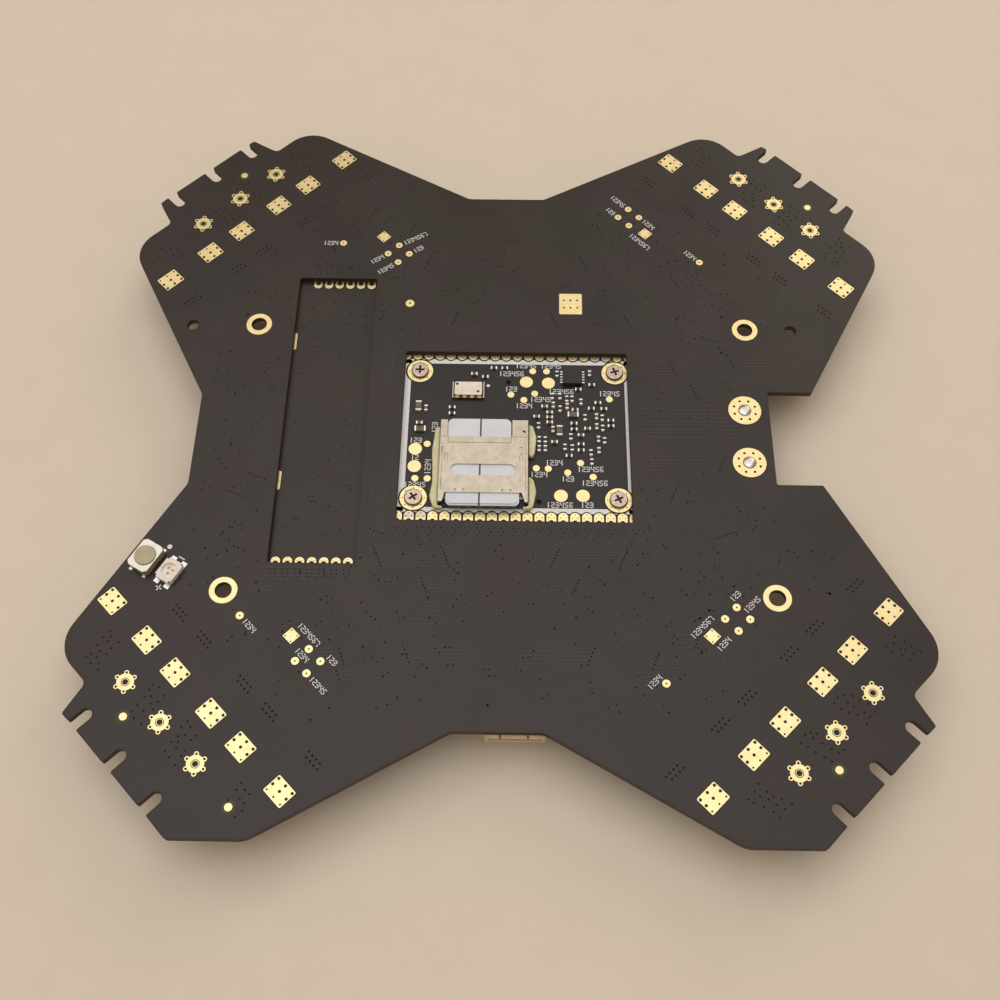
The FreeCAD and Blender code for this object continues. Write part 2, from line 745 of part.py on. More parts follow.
def end_spots(chips, length):
    """Placements of the two end caps of each chip."""
    reach = (size(length) - size("chip_end")) / 2
    spots = []
    for x, y, upright in chips:
        dx, dy = (0, reach) if upright else (reach, 0)
        spots += [(x - dx, y - dy, MODULE_TOP, 90 * upright), (x + dx, y + dy, MODULE_TOP, 90 * upright)]
    return spots


def make_chips():
    small = (cell("chip_small_length"), f"{cell('chip_small_width')} - 0.03")
    large = (cell("chip_large_length"), f"{cell('chip_large_width')} - 0.03")
    tall = f"{cell('capacitor_height')} - 0.02"
    low = f"{cell('resistor_height')} - 0.02"
    copies("chip_capacitors", [
        (chip_master("small_capacitor_master", *small, tall), chip_spots(SMALL_CAPACITORS)),
        (chip_master("large_capacitor_master", *large, tall), chip_spots(LARGE_CAPACITORS)),
    ])
    copies("chip_resistors", [
        (chip_master("small_resistor_master", *small, low), chip_spots(SMALL_RESISTORS)),
    ])

    def cap(label, width, height):
        """End cap of a chip."""
        return plate(label, cell("chip_end"), cell(width), cell(height), kept=False)

    copies("chip_end_caps", [
        (cap("tall_cap_master", "chip_small_width", "capacitor_height"),
         end_spots(SMALL_CAPACITORS, "chip_small_length")),
        (cap("large_cap_master", "chip_large_width", "capacitor_height"),
         end_spots(LARGE_CAPACITORS, "chip_large_length")),
        (cap("low_cap_master", "chip_small_width", "resistor_height"),
         end_spots(SMALL_RESISTORS, "chip_small_length")),
    ])


# ---------------------------------------------------------------- memory card socket

SOCKET_LEFT = -9.2
SOCKET_RIGHT = 3.7
SOCKET_FRONT = -12.5
SOCKET_REAR = 0.55
LID_LEFT = -9.46
LID_RIGHT = 3.96
LID_FRONT = -12.35
LID_REAR = 1.85
LID_TOP = 1.0
CARD_LEFT = -8.33
CARD_REAR = 2.1
CARD_BOTTOM = 0.05
CHEEK_RADIUS = 0.44


def make_socket_base():
    """Plastic floor with two rounded cheeks that hold the hinge pins."""
    body = new_body("card_socket_base")
    sketch = new_sketch(body, "socket_floor_outline", height=MODULE_TOP)
    outline(sketch, box_corners((SOCKET_LEFT, SOCKET_FRONT), (SOCKET_RIGHT, SOCKET_REAR), 0.3))
    pad(body, sketch, cell("socket_floor"))
    axis_y = size("hinge_y")
    axis_z = size("hinge_z")
    low = axis_z - (MODULE_TOP + 0.2)
    before = body.Shape.Volume
    for low_x, high_x in ((SOCKET_LEFT, -8.6), (3.0, SOCKET_RIGHT)):
        cheek = new_sketch(body, "cheek_profile", "YZ_Plane", height=low_x)
        outline(cheek, [
            (SOCKET_REAR - 0.5, axis_z - low), (axis_y + CHEEK_RADIUS, axis_z - low),
            (axis_y + CHEEK_RADIUS, axis_z + CHEEK_RADIUS, CHEEK_RADIUS - 0.01),
            (axis_y - CHEEK_RADIUS, axis_z + CHEEK_RADIUS, CHEEK_RADIUS - 0.01),
            (axis_y - CHEEK_RADIUS, axis_z - 0.65), (SOCKET_REAR - 0.5, axis_z - 0.65),
        ])
        pad(body, cheek, f"{high_x - low_x}")
    if body.Shape.Volume <= before:
        raise RuntimeError("card_socket_base: cheeks missing")
    hole = new_sketch(body, "pin_hole", "YZ_Plane", height=SOCKET_LEFT - 1)
    circle(hole, f"{cell('hinge_radius')} + {cell('hinge_clearance')}", (axis_y, axis_z))
    pocket(body, hole, "20", upwards=True)
    trough = new_sketch(body, "contact_trough", height=MODULE_TOP + size("socket_floor"))
    outline(trough, box_corners((-7.9, -6.6), (1.0, -1.6), 0.2))
    pocket(body, trough, "0.35")


def make_socket_contacts():
    """Eight sprung contacts that rise from the trough to just under the card."""
    body = new_body("contact_master")
    del parts["contact_master"]
    sketch = new_sketch(body, "contact_profile", "YZ_Plane")
    floor = MODULE_TOP + size("socket_floor") - 0.35
    crest = CARD_BOTTOM - 0.03
    sheet_thickness = 0.12
    outline(sketch, [
        (-6.4, floor), (-4.6, floor), (-2.5, crest - sheet_thickness), (-2.1, crest - 0.3),
        (-1.95, crest - 0.22), (-2.4, crest), (-2.6, crest), (-4.7, floor + sheet_thickness),
        (-6.4, floor + sheet_thickness),
    ])
    pad(body, sketch, "0.7")
    pitch = 1.1
    first = -7.6
    copies("card_socket_contacts", [(body, [(first + pitch * i, 0, 0) for i in range(8)])])


def make_hinge_pins():
    """Two short pins, one in each cheek, that turn with the lid."""
    body = new_body("card_lid_hinge_pins")
    for low_x, high_x in ((LID_LEFT, -8.62), (3.02, LID_RIGHT)):
        sketch = new_sketch(body, "pin_section", "YZ_Plane", height=low_x)
        circle(sketch, cell("hinge_radius"), (size("hinge_y"), size("hinge_z")))
        pad(body, sketch, f"{high_x - low_x}")


def make_card_lid():
    """Folded sheet lid: top plate, two slotted side flanges and rails that carry the card."""
    body = new_body("card_lid")
    gauge = size("lid_sheet")
    top = new_sketch(body, "lid_top_outline", height=LID_TOP)
    outline(top, [
        (LID_LEFT, LID_FRONT, 0.2), (-8.85, LID_FRONT, 0.2), (-8.5, -10.8, 0.2), (3.05, -10.8, 0.2),
        (3.5, LID_FRONT, 0.2), (LID_RIGHT, LID_FRONT, 0.2), (LID_RIGHT, LID_REAR), (1.55, LID_REAR),
        (1.55, -1.12), (-8.4, -1.12), (-8.4, LID_REAR), (LID_LEFT, LID_REAR),
    ])
    outline(top, [(-7.76, -7.92, 0.97), (2.1, -7.92, 0.97), (2.1, -5.95, 0.97), (-7.76, -5.95, 0.97)])
    for centre in (-6.3, 0.75):
        for side in (-1, 1):
            notch = centre + side * 0.62
            outline(top, box_corners((notch - 0.17, -10.68), (notch + 0.17, -10.2), 0.1))
    pad(body, top, cell("lid_sheet"), downwards=True)
    step = new_sketch(body, "lid_steps", height=LID_TOP)
    outline(step, [(-8.16, -0.9), (1.3, -0.9), (1.3, -2.15, 0.3), (-8.16, -2.15, 0.3)])
    outline(step, box_corners((LID_LEFT - 0.1, -1.1), (-8.3, LID_REAR + 0.1)))
    outline(step, box_corners((1.45, -1.1), (LID_RIGHT + 0.1, LID_REAR + 0.1)))
    for low_x in (-9.25, 2.7):
        outline(step, box_corners((low_x, -4.3), (low_x + 0.5, -3.0)))
        outline(step, box_corners((low_x, -9.6), (low_x + 0.3, -8.6)))
    pocket(body, step, cell("lid_step"))
    catch = new_sketch(body, "lid_catch_window", height=LID_TOP)
    outline(catch, [(3.15, -0.35), (3.6, -0.35), (3.6, -0.1), (3.4, -0.1), (3.4, 0.1), (3.15, 0.1)])
    pocket(body, catch, cell("lid_sheet"))
    flange_low = -0.45
    axis_y = size("hinge_y")
    axis_z = size("hinge_z")
    for low_x in (LID_LEFT, LID_RIGHT - gauge):
        flange = new_sketch(body, "flange_profile", "YZ_Plane", height=low_x)
        outline(flange, [
            (LID_FRONT + 0.3, LID_TOP - gauge), (LID_FRONT + 0.3, flange_low, 0.3), (0.4, flange_low, 0.3),
            (axis_y, axis_z - 0.55, 0.3), (LID_REAR, axis_z - 0.3, 0.3), (LID_REAR, LID_TOP - gauge),
        ])
        slot = size("hinge_radius") + size("hinge_clearance")
        low_y = axis_y - size("lid_travel") - slot
        outline(flange, [
            (low_y, axis_z - slot, slot - 0.01), (axis_y + slot, axis_z - slot, slot - 0.01),
            (axis_y + slot, axis_z + slot, slot - 0.01), (low_y, axis_z + slot, slot - 0.01),
        ])
        pad(body, flange, cell("lid_sheet"))
    rail_top = CARD_BOTTOM - 0.03
    for low_x, high_x in ((LID_LEFT + gauge, -8.05), (2.4, LID_RIGHT - gauge)):
        rail = new_sketch(body, "rail_outline", height=rail_top)
        outline(rail, box_corners((low_x, -11.4), (high_x, 0.3)))
        pad(body, rail, "0.14", downwards=True)


def make_memory_card():
    """Card with a narrow contact end and a raised grip at the other end."""
    body = new_body("memory_card")
    left = CARD_LEFT
    right = left + size("card_width")
    rear = CARD_REAR
    front = rear - size("card_length")
    sketch = new_sketch(body, "card_outline", height=CARD_BOTTOM)
    outline(sketch, [
        (left, front, 0.8), (right, front, 0.8), (right, -5.6, 0.3), (2.0, -4.9), (2.0, -4.2), (1.37, -3.6),
        (1.37, rear, 0.9), (left, rear, 0.9),
    ])
    pad(body, sketch, cell("card_thickness"))
    grip = new_sketch(body, "grip_outline", height=CARD_BOTTOM + size("card_thickness"))
    outline(grip, [
        (left + 0.3, front + 0.25, 0.6), (right - 0.3, front + 0.25, 0.6), (right - 0.3, front + 1.5, 0.5),
        (left + 0.3, front + 1.5, 0.5),
    ])
    pad(body, grip, "0.25")


def make_glue():
    """Three beads of glue beside the socket, clear of the lid."""
    body = new_body("glue_beads")
    sketch = new_sketch(body, "glue_outline", height=MODULE_TOP)
    left_edge = LID_LEFT - 0.08
    right_edge = LID_RIGHT + 0.08
    under_front = SOCKET_FRONT - 0.04
    outline(sketch, [
        (left_edge, 1.2, 0.2), (-10.35, 0.9, 0.5), (-10.75, -3.0, 2.0), (-10.5, -8.5, 2.0),
        (-10.85, -11.0, 0.8),
        (-10.2, -13.0, 0.8), (-8.8, -13.0, 0.15), (-8.8, under_front), (left_edge, under_front),
    ])
    outline(sketch, [
        (right_edge, 1.7, 0.15), (4.75, 1.4, 0.5), (5.3, -0.6, 1.0), (5.05, -3.2, 0.8), (4.75, -4.1, 0.3),
        (right_edge, -3.8, 0.15),
    ])
    outline(sketch, [
        (right_edge, -7.2, 0.2), (4.9, -8.1, 0.6), (5.3, -10.0, 1.0), (4.8, -12.5, 0.6), (4.2, -13.0, 0.4),
        (3.2, -13.0, 0.15), (3.2, under_front), (right_edge, under_front),
    ])
    pad(body, sketch, "1.15")


# ---------------------------------------------------------------- switch and status light

SWITCH_SPOT = (-51.4, -22.1, TOP, -30)
LIGHT_SPOT = (-47.8, -24.1, TOP, -30)
LEAD_LIFT = 0.1


def make_switch():
    """Push switch: base, snap dome, button, sheet cover and four leads."""
    width = cell("switch_width")
    length = cell("switch_length")
    base = new_body("switch_base")
    base_sketch = new_sketch(base, "switch_base_outline", height=LEAD_LIFT)
    rectangle(base_sketch, f"{width} - 0.9", f"{length} - 0.9")
    pad(base, base_sketch, "0.5")
    well = new_sketch(base, "switch_well", height=LEAD_LIFT + 0.5)
    circle(well, "1.3")
    pocket(base, well, "0.2")
    settle(base, SWITCH_SPOT)

    dome_floor = LEAD_LIFT + 0.3
    dome = turned("switch_dome", [
        (0, dome_floor + 0.28), (0.6, dome_floor + 0.24), (1.2, dome_floor), (1.25, dome_floor),
        (1.25, dome_floor + 0.05), (0.65, dome_floor + 0.3), (0, dome_floor + 0.34),
    ])
    settle(dome, SWITCH_SPOT)

    top = size("switch_height")
    gauge = size("switch_sheet")
    plunger = new_body("switch_button")
    flange = new_sketch(plunger, "button_flange", height=top - gauge - 0.25)
    outline(flange, box_corners((-1.56, -1.95), (1.56, 1.95), 0.3))
    pad(plunger, flange, "0.2")
    stem = new_sketch(plunger, "button_stem", height=top - gauge - 0.25)
    circle(stem, "0.6")
    pad(plunger, stem, "0.08", downwards=True)
    head = new_sketch(plunger, "button_head", height=top - gauge - 0.05)
    circle(head, cell("button_radius"))
    pad(plunger, head, f"{cell('switch_sheet')} + 0.05 + {cell('button_proud')}")
    settle(plunger, SWITCH_SPOT)

    cover = new_body("switch_cover")
    shell = new_sketch(cover, "cover_outline", height=LEAD_LIFT + 0.1)
    half = (size("switch_width") / 2, size("switch_length") / 2)
    bevel = 0.45
    outline(shell, [
        (-half[0] + bevel, -half[1]), (half[0] - bevel, -half[1]), (half[0], -half[1] + bevel),
        (half[0], half[1] - bevel), (half[0] - bevel, half[1]), (-half[0] + bevel, half[1]),
        (-half[0], half[1] - bevel), (-half[0], -half[1] + bevel),
    ])
    pad(cover, shell, f"{cell('switch_height')} - {LEAD_LIFT + 0.1}")
    hollow = new_sketch(cover, "cover_hollow", height=LEAD_LIFT + 0.1)
    rectangle(hollow, f"{width} - 2 * {cell('switch_sheet')}", f"{length} - 2 * {cell('switch_sheet')} - 0.3")
    pocket(cover, hollow, f"{cell('switch_height')} - {cell('switch_sheet')} - {LEAD_LIFT + 0.1}",
           upwards=True)
    opening = new_sketch(cover, "cover_opening", height=top)
    circle(opening, f"{cell('button_radius')} + 0.06")
    pocket(cover, opening, cell("switch_sheet"))
    settle(cover, SWITCH_SPOT)

    leads = new_body("switch_terminals")
    sketch = new_sketch(leads, "terminal_outline")
    for side in (-1, 1):
        for end in (-1, 1):
            low = (side * 1.2 - 0.25, end * 2.3 - 0.3)
            outline(sketch, box_corners(low, (low[0] + 0.5, low[1] + 0.6)))
    pad(leads, sketch, f"{LEAD_LIFT}")
    settle(leads, SWITCH_SPOT)


def make_status_light():
    """Colour light: clear body, three light chips inside it, four leads."""
    body = new_body("status_light_body")
    half_x = size("light_width") / 2
    half_y = size("light_length") / 2
    notch = size("light_notch")
    sides = new_sketch(body, "light_outline")
    outline(sides, [
        (notch - half_x, -half_y), (half_x - notch, -half_y), (half_x - notch, notch - half_y),
        (half_x, notch - half_y), (half_x, half_y - notch), (half_x - notch, half_y - notch),
        (half_x - notch, half_y), (notch - half_x, half_y), (notch - half_x, half_y - notch),
        (-half_x, half_y - notch), (-half_x, notch - half_y), (notch - half_x, notch - half_y),
    ])
    pad(body, sides, cell("light_height"))
    well = new_sketch(body, "light_well", height=size("light_height"))
    circle(well, cell("light_well_radius"))
    pocket(body, well, cell("light_well_depth"))
    settle(body, (LIGHT_SPOT[0], LIGHT_SPOT[1], TOP + LEAD_LIFT, LIGHT_SPOT[3]))
    chips = new_body("status_light_chips")
    sketch = new_sketch(chips, "light_chip_outline")
    for x, y in ((-0.4, 0.35), (0.35, 0.35), (0.0, -0.45)):
        outline(sketch, box_corners((x - 0.16, y - 0.16), (x + 0.16, y + 0.16)))
    pad(chips, sketch, "0.12")
    well_floor = TOP + LEAD_LIFT + size("light_height") - size("light_well_depth")
    settle(chips, (LIGHT_SPOT[0], LIGHT_SPOT[1], well_floor, LIGHT_SPOT[3]))
    leads = new_body("status_light_terminals")
    lead_sketch = new_sketch(leads, "light_terminal_outline")
    for side in (-1, 1):
        for end in (-1, 1):
            low = (side * 0.9 - 0.42, end * 1.85 - 0.5)
            outline(lead_sketch, box_corners(low, (low[0] + 0.84, low[1] + 1.0)))
    pad(leads, lead_sketch, f"{LEAD_LIFT}")
    settle(leads, LIGHT_SPOT)


# ---------------------------------------------------------------- side module

def make_side_module():
    """Long narrow board soldered under the left window, with half-moon lands at its ends."""
    cx, cy = SIDE_WINDOW
    half = (size("side_window_width") / 2 + 1.3, size("side_window_depth") / 2 + 1.7)
    board = new_body("side_module_board")
    sketch = new_sketch(board, "side_module_outline", height=MODULE_TOP)
    outline(sketch, box_corners((cx - half[0], cy - half[1]), (cx + half[0], cy + half[1]), 0.4))
    pad(board, sketch, cell("module_thickness"), downwards=True)
    land = edge_pad("side_edge_pad_master", 0.68, 1.0, 1.1)
    near = cy - size("side_window_depth") / 2 + 0.35
    far = cy + size("side_window_depth") / 2 - 0.35
    pitch = size("module_pitch")
    spots = [(-33.0 + pitch * i, near, MODULE_TOP, 0) for i in range(7)]
    spots += [(-31.1 + pitch * i, far, MODULE_TOP, 180) for i in range(6)]
    copies("side_module_edge_pads", [(land, spots)])
    tabs = new_body("side_module_tabs")
    tab_sketch = new_sketch(tabs, "tab_outline", height=MODULE_TOP)
    for middle in (17.4, -8.15):
        outline(tab_sketch, box_corners((-34.5, middle - 1.6), (-33.6, middle + 1.6), 0.25))
    pad(tabs, tab_sketch, cell("pad_thickness"))
    chips = plate("side_chip_master", "4.9", "3.9", "1.5", hanging=True, kept=False)
    copies("side_module_chips", [(chips, [(cx, cy + step, MODULE_UNDER) for step in (-16, -6, 4, 14)])])


# ---------------------------------------------------------------- power side

def make_transistors():
    """Six power transistors per arm, under the thermal lands."""
    row = [-18.9, -10.6, -4.05, 4.05, 10.7, 18.95]
    out = 58.6
    spots = [arm_spot(arm, along, out, UNDER) for arm in ARMS for along in row]
    frame = new_body("lead_frame_master")
    del parts["lead_frame_master"]
    sketch = new_sketch(frame, "lead_frame_outline")
    corners = [(-2.2, 3.05), (-2.2, -2.6)]
    for lead in range(4):
        middle = (lead - 1.5) * size("lead_pitch")
        corners += [(middle - 0.2, -2.6), (middle - 0.2, -3.05), (middle + 0.2, -3.05), (middle + 0.2, -2.6)]
    corners += [(2.2, -2.6), (2.2, 3.05)]
    outline(sketch, corners)
    pad(frame, sketch, cell("lead_frame"), downwards=True)
    copies("transistor_lead_frames", [(frame, spots)])
    case = plate("transistor_master", cell("mosfet_along"), cell("mosfet_out"), cell("mosfet_height"),
                 hanging=True, kept=False)
    lowered = [(x, y, z - size("lead_frame"), turn) for x, y, z, turn in spots]
    copies("power_transistors", [(case, lowered)])


def make_arm_controls():
    """Gate drivers, motor controllers, current shunts and filter capacitors of the arms."""
    driver = plate("gate_driver_master", cell("driver_size"), cell("driver_size"), cell("package_height"),
                   hanging=True, kept=False)
    copies("gate_drivers", [(driver, [arm_spot(arm, along, 51.6, UNDER) for arm in ARMS
                                      for along in (-14.8, 0.0, 14.8)])])
    controller = plate("controller_master", cell("controller_size"), cell("controller_size"),
                       cell("package_height"), hanging=True, kept=False)
    places = [(-17.95, 36.2), (20.93, 41.0), (-20.8, -31.0), (25.5, -26.6)]
    copies("motor_controllers", [(controller, [(x, y, UNDER, 45) for x, y in places])])
    shunt = plate("shunt_master", "6.3", "3.2", "0.6", hanging=True, kept=False)
    spots = [arm_spot(arm, -7.3, 47.6, UNDER) for arm in REAR_ARMS]
    spots += [arm_spot(arm, 0.0, 45.4, UNDER) for arm in FRONT_ARMS]
    copies("current_shunts", [(shunt, spots)])
    middle = plate("ceramic_master", "2.5", "2.2", "1.7", hanging=True, kept=False)
    cap = plate("ceramic_cap_master", "2.5", "0.5", "1.7", hanging=True, kept=False)
    row = [(arm, along) for arm in ARMS for along in (-14.75, 0.0, 14.82)]
    out = 58.9
    copies("filter_capacitors", [(middle, [arm_spot(arm, along, out, UNDER) for arm, along in row])])
    copies("filter_capacitor_ends", [(cap, [arm_spot(arm, along, out + end * 1.35, UNDER)
                                            for arm, along in row for end in (-1, 1)])])


def make_bulk_capacitors():
    """One tall round capacitor per arm, on a square plastic base."""
    spots = [arm_spot(arm, 7.3, 51.25, UNDER) for arm in REAR_ARMS]
    spots += [arm_spot(arm, -7.3, 51.25, UNDER) for arm in FRONT_ARMS]
    base = plate("can_base_master", f"2 * {cell('can_radius')} + 0.3", f"2 * {cell('can_radius')} + 0.3",
                 cell("can_base"), hanging=True, kept=False)
    copies("bulk_capacitor_bases", [(base, spots)])
    wide = size("can_radius")
    tall = size("can_height")
    profile = [
        (0, 0), (wide - 0.3, 0), (wide, -0.3), (wide, -0.9), (wide - 0.25, -1.15), (wide, -1.4),
        (wide, -tall, 0.4), (0, -tall),
    ]
    can = turned("can_master", profile, kept=False)
    lowered = [(x, y, z - size("can_base"), turn) for x, y, z, turn in spots]
    copies("bulk_capacitor_cans", [(can, lowered)])


def make_regulators():
    """Two step-down regulators by the battery posts, each with its inductor."""
    inductor = new_body("inductor_master")
    del parts["inductor_master"]
    sketch = new_sketch(inductor, "inductor_outline")
    half = size("inductor_size") / 2
    outline(sketch, box_corners((-half, -half), (half, half), 1.0))
    pad(inductor, sketch, cell("inductor_height"), downwards=True)
    x = size("regulator_x")
    copies("power_inductors", [(inductor, [(x, y, UNDER) for y in (-11.5, 11.5)])])
    chip = plate("regulator_master", "4.9", "3.9", "1.4", hanging=True, kept=False)
    copies("regulator_chips", [(chip, [(x, y, UNDER - 0.1) for y in (-3.6, 3.6)])])
    lead = plate("regulator_lead_master", "0.4", "1", "0.25", hanging=True, kept=False)
    spots = [(x + (step - 1.5) * size("lead_pitch"), y + side * 2.47, UNDER)
             for y in (-3.6, 3.6) for side in (-1, 1) for step in range(4)]
    copies("regulator_leads", [(lead, spots)])


def make_front_connector():
    """Side-entry connector under the front waist, its mouth facing forward."""
    housing = new_body("front_connector_housing")
    wall = size("connector_wall")
    tall = size("connector_height")
    front = size("front_waist_y") - size("connector_proud")
    low_x = size("connector_left_x")
    high_x = size("connector_right_x")
    sketch = new_sketch(housing, "housing_outline", height=UNDER)
    outline(sketch, box_corners((low_x, front), (high_x, front + size("connector_depth")), 0.2))
    pad(housing, sketch, cell("connector_height"), downwards=True)
    mouth = new_sketch(housing, "mouth_outline", "XZ_Plane", height=-front)
    outline(mouth, box_corners((low_x + wall, UNDER - tall + wall), (high_x - wall, UNDER - wall)))
    pocket(housing, mouth, cell("connector_mouth_depth"))
    notches = new_sketch(housing, "lip_notches", height=UNDER)
    for notch_x in (size("connector_notch_left_x"), size("connector_notch_right_x")):
        corner = (notch_x + size("connector_notch"), front + size("connector_notch_depth"))
        outline(notches, box_corners((notch_x, front - 0.1), corner))
    pocket(housing, notches, cell("connector_wall"))
    pins = new_body("front_connector_pins")
    half_pin = size("connector_pin") / 2
    middle_z = UNDER - tall / 2
    for step in range(6):
        x = low_x + size("connector_first_pin") + step
        pin_back = -front - size("connector_mouth_depth")
        pin = new_sketch(pins, "pin_section", "XZ_Plane", height=pin_back)
        outline(pin, box_corners((x - half_pin, middle_z - half_pin), (x + half_pin, middle_z + half_pin)))
        pad(pins, pin, cell("connector_pin_length"))


def make_module_underside():
    """Processor, its crystal and the motion sensor under the core module."""
    cx, cy = MODULE_CENTRE
    side = cell("processor_side")
    processor = plate("processor", side, side, cell("processor_height"), hanging=True)
    settle(processor, (cx, cy, MODULE_UNDER))
    crystal = new_body("crystal")
    sketch = new_sketch(crystal, "crystal_outline")
    half = (size("crystal_half_x"), size("crystal_half_y"))
    outline(sketch, box_corners((-half[0], -half[1]), half, 0.25))
    pad(crystal, sketch, cell("crystal_height"), downwards=True)
    settle(crystal, (cx + 8.2, cy - 1.0, MODULE_UNDER))
    side = cell("motion_sensor_side")
    sensor = plate("motion_sensor", side, side, cell("motion_sensor_height"), hanging=True)
    settle(sensor, (cx - 9.0, cy + 1.5, MODULE_UNDER))


# ---------------------------------------------------------------- build and write

make_main_board()
make_mounting_lands()
make_thermal_pads()
make_motor_wire_pads()
make_power_input()
make_test_pads()
make_sense_pads()
make_core_module()
make_module_screws()
make_pressure_sensor()
make_transceiver()
make_chips()
make_socket_base()
make_socket_contacts()
make_hinge_pins()
make_card_lid()
make_memory_card()
make_glue()
make_switch()
make_status_light()
make_side_module()
make_transistors()
make_arm_controls()
make_bulk_capacitors()
make_regulators()
make_front_connector()
make_module_underside()
doc.recompute()

for item in doc.Objects:
    if {"Invalid", "Error"} & set(item.State):
        raise RuntimeError(f"{item.Label} failed: {item.State}")
for label, item in parts.items():
    if item.Shape.isNull() or not item.Shape.isValid() or not item.Shape.Solids:
        raise RuntimeError(f"{label} has no valid solid")
for label, item in parts.items():
    item.Shape.exportStep(f"parts/{label}.step")
print(len(parts), "sub-parts written")
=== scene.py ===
import math
import random
import bpy
import bmesh
from mathutils import Matrix, Vector
from mathutils.bvhtree import BVHTree


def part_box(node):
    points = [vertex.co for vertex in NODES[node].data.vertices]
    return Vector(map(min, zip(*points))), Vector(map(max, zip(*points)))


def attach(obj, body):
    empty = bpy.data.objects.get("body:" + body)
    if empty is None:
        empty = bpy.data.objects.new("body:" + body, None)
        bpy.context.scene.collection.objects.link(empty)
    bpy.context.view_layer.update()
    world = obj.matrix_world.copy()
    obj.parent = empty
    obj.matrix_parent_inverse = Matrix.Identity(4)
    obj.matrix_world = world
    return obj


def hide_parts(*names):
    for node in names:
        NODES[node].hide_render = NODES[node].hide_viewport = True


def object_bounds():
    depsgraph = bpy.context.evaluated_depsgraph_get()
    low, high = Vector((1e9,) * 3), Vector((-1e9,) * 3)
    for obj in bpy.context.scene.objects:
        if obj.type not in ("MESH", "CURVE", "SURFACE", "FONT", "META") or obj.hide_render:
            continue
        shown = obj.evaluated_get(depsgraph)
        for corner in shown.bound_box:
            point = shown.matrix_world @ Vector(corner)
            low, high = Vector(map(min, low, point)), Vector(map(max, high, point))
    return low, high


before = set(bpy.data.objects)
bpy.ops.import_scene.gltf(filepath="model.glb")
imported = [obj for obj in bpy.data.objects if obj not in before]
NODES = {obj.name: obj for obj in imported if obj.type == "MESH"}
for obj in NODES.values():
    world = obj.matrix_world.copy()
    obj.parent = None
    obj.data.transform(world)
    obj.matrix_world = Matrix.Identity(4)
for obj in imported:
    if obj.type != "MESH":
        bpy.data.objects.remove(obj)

cad_low, cad_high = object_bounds()

MM = 0.001
TOP = 0.0
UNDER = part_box("main_board")[0].z / MM
MODULE_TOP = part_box("core_module_board")[1].z / MM
SKIN = 0.004
ROOT_TWO = math.sqrt(2)
ARMS = [(1, 1), (-1, 1), (-1, -1), (1, -1)]
SMALL_PARTS_TURN = -30
WIRE_BORE = 0.42


# ------------------------------------------------------------ shader building

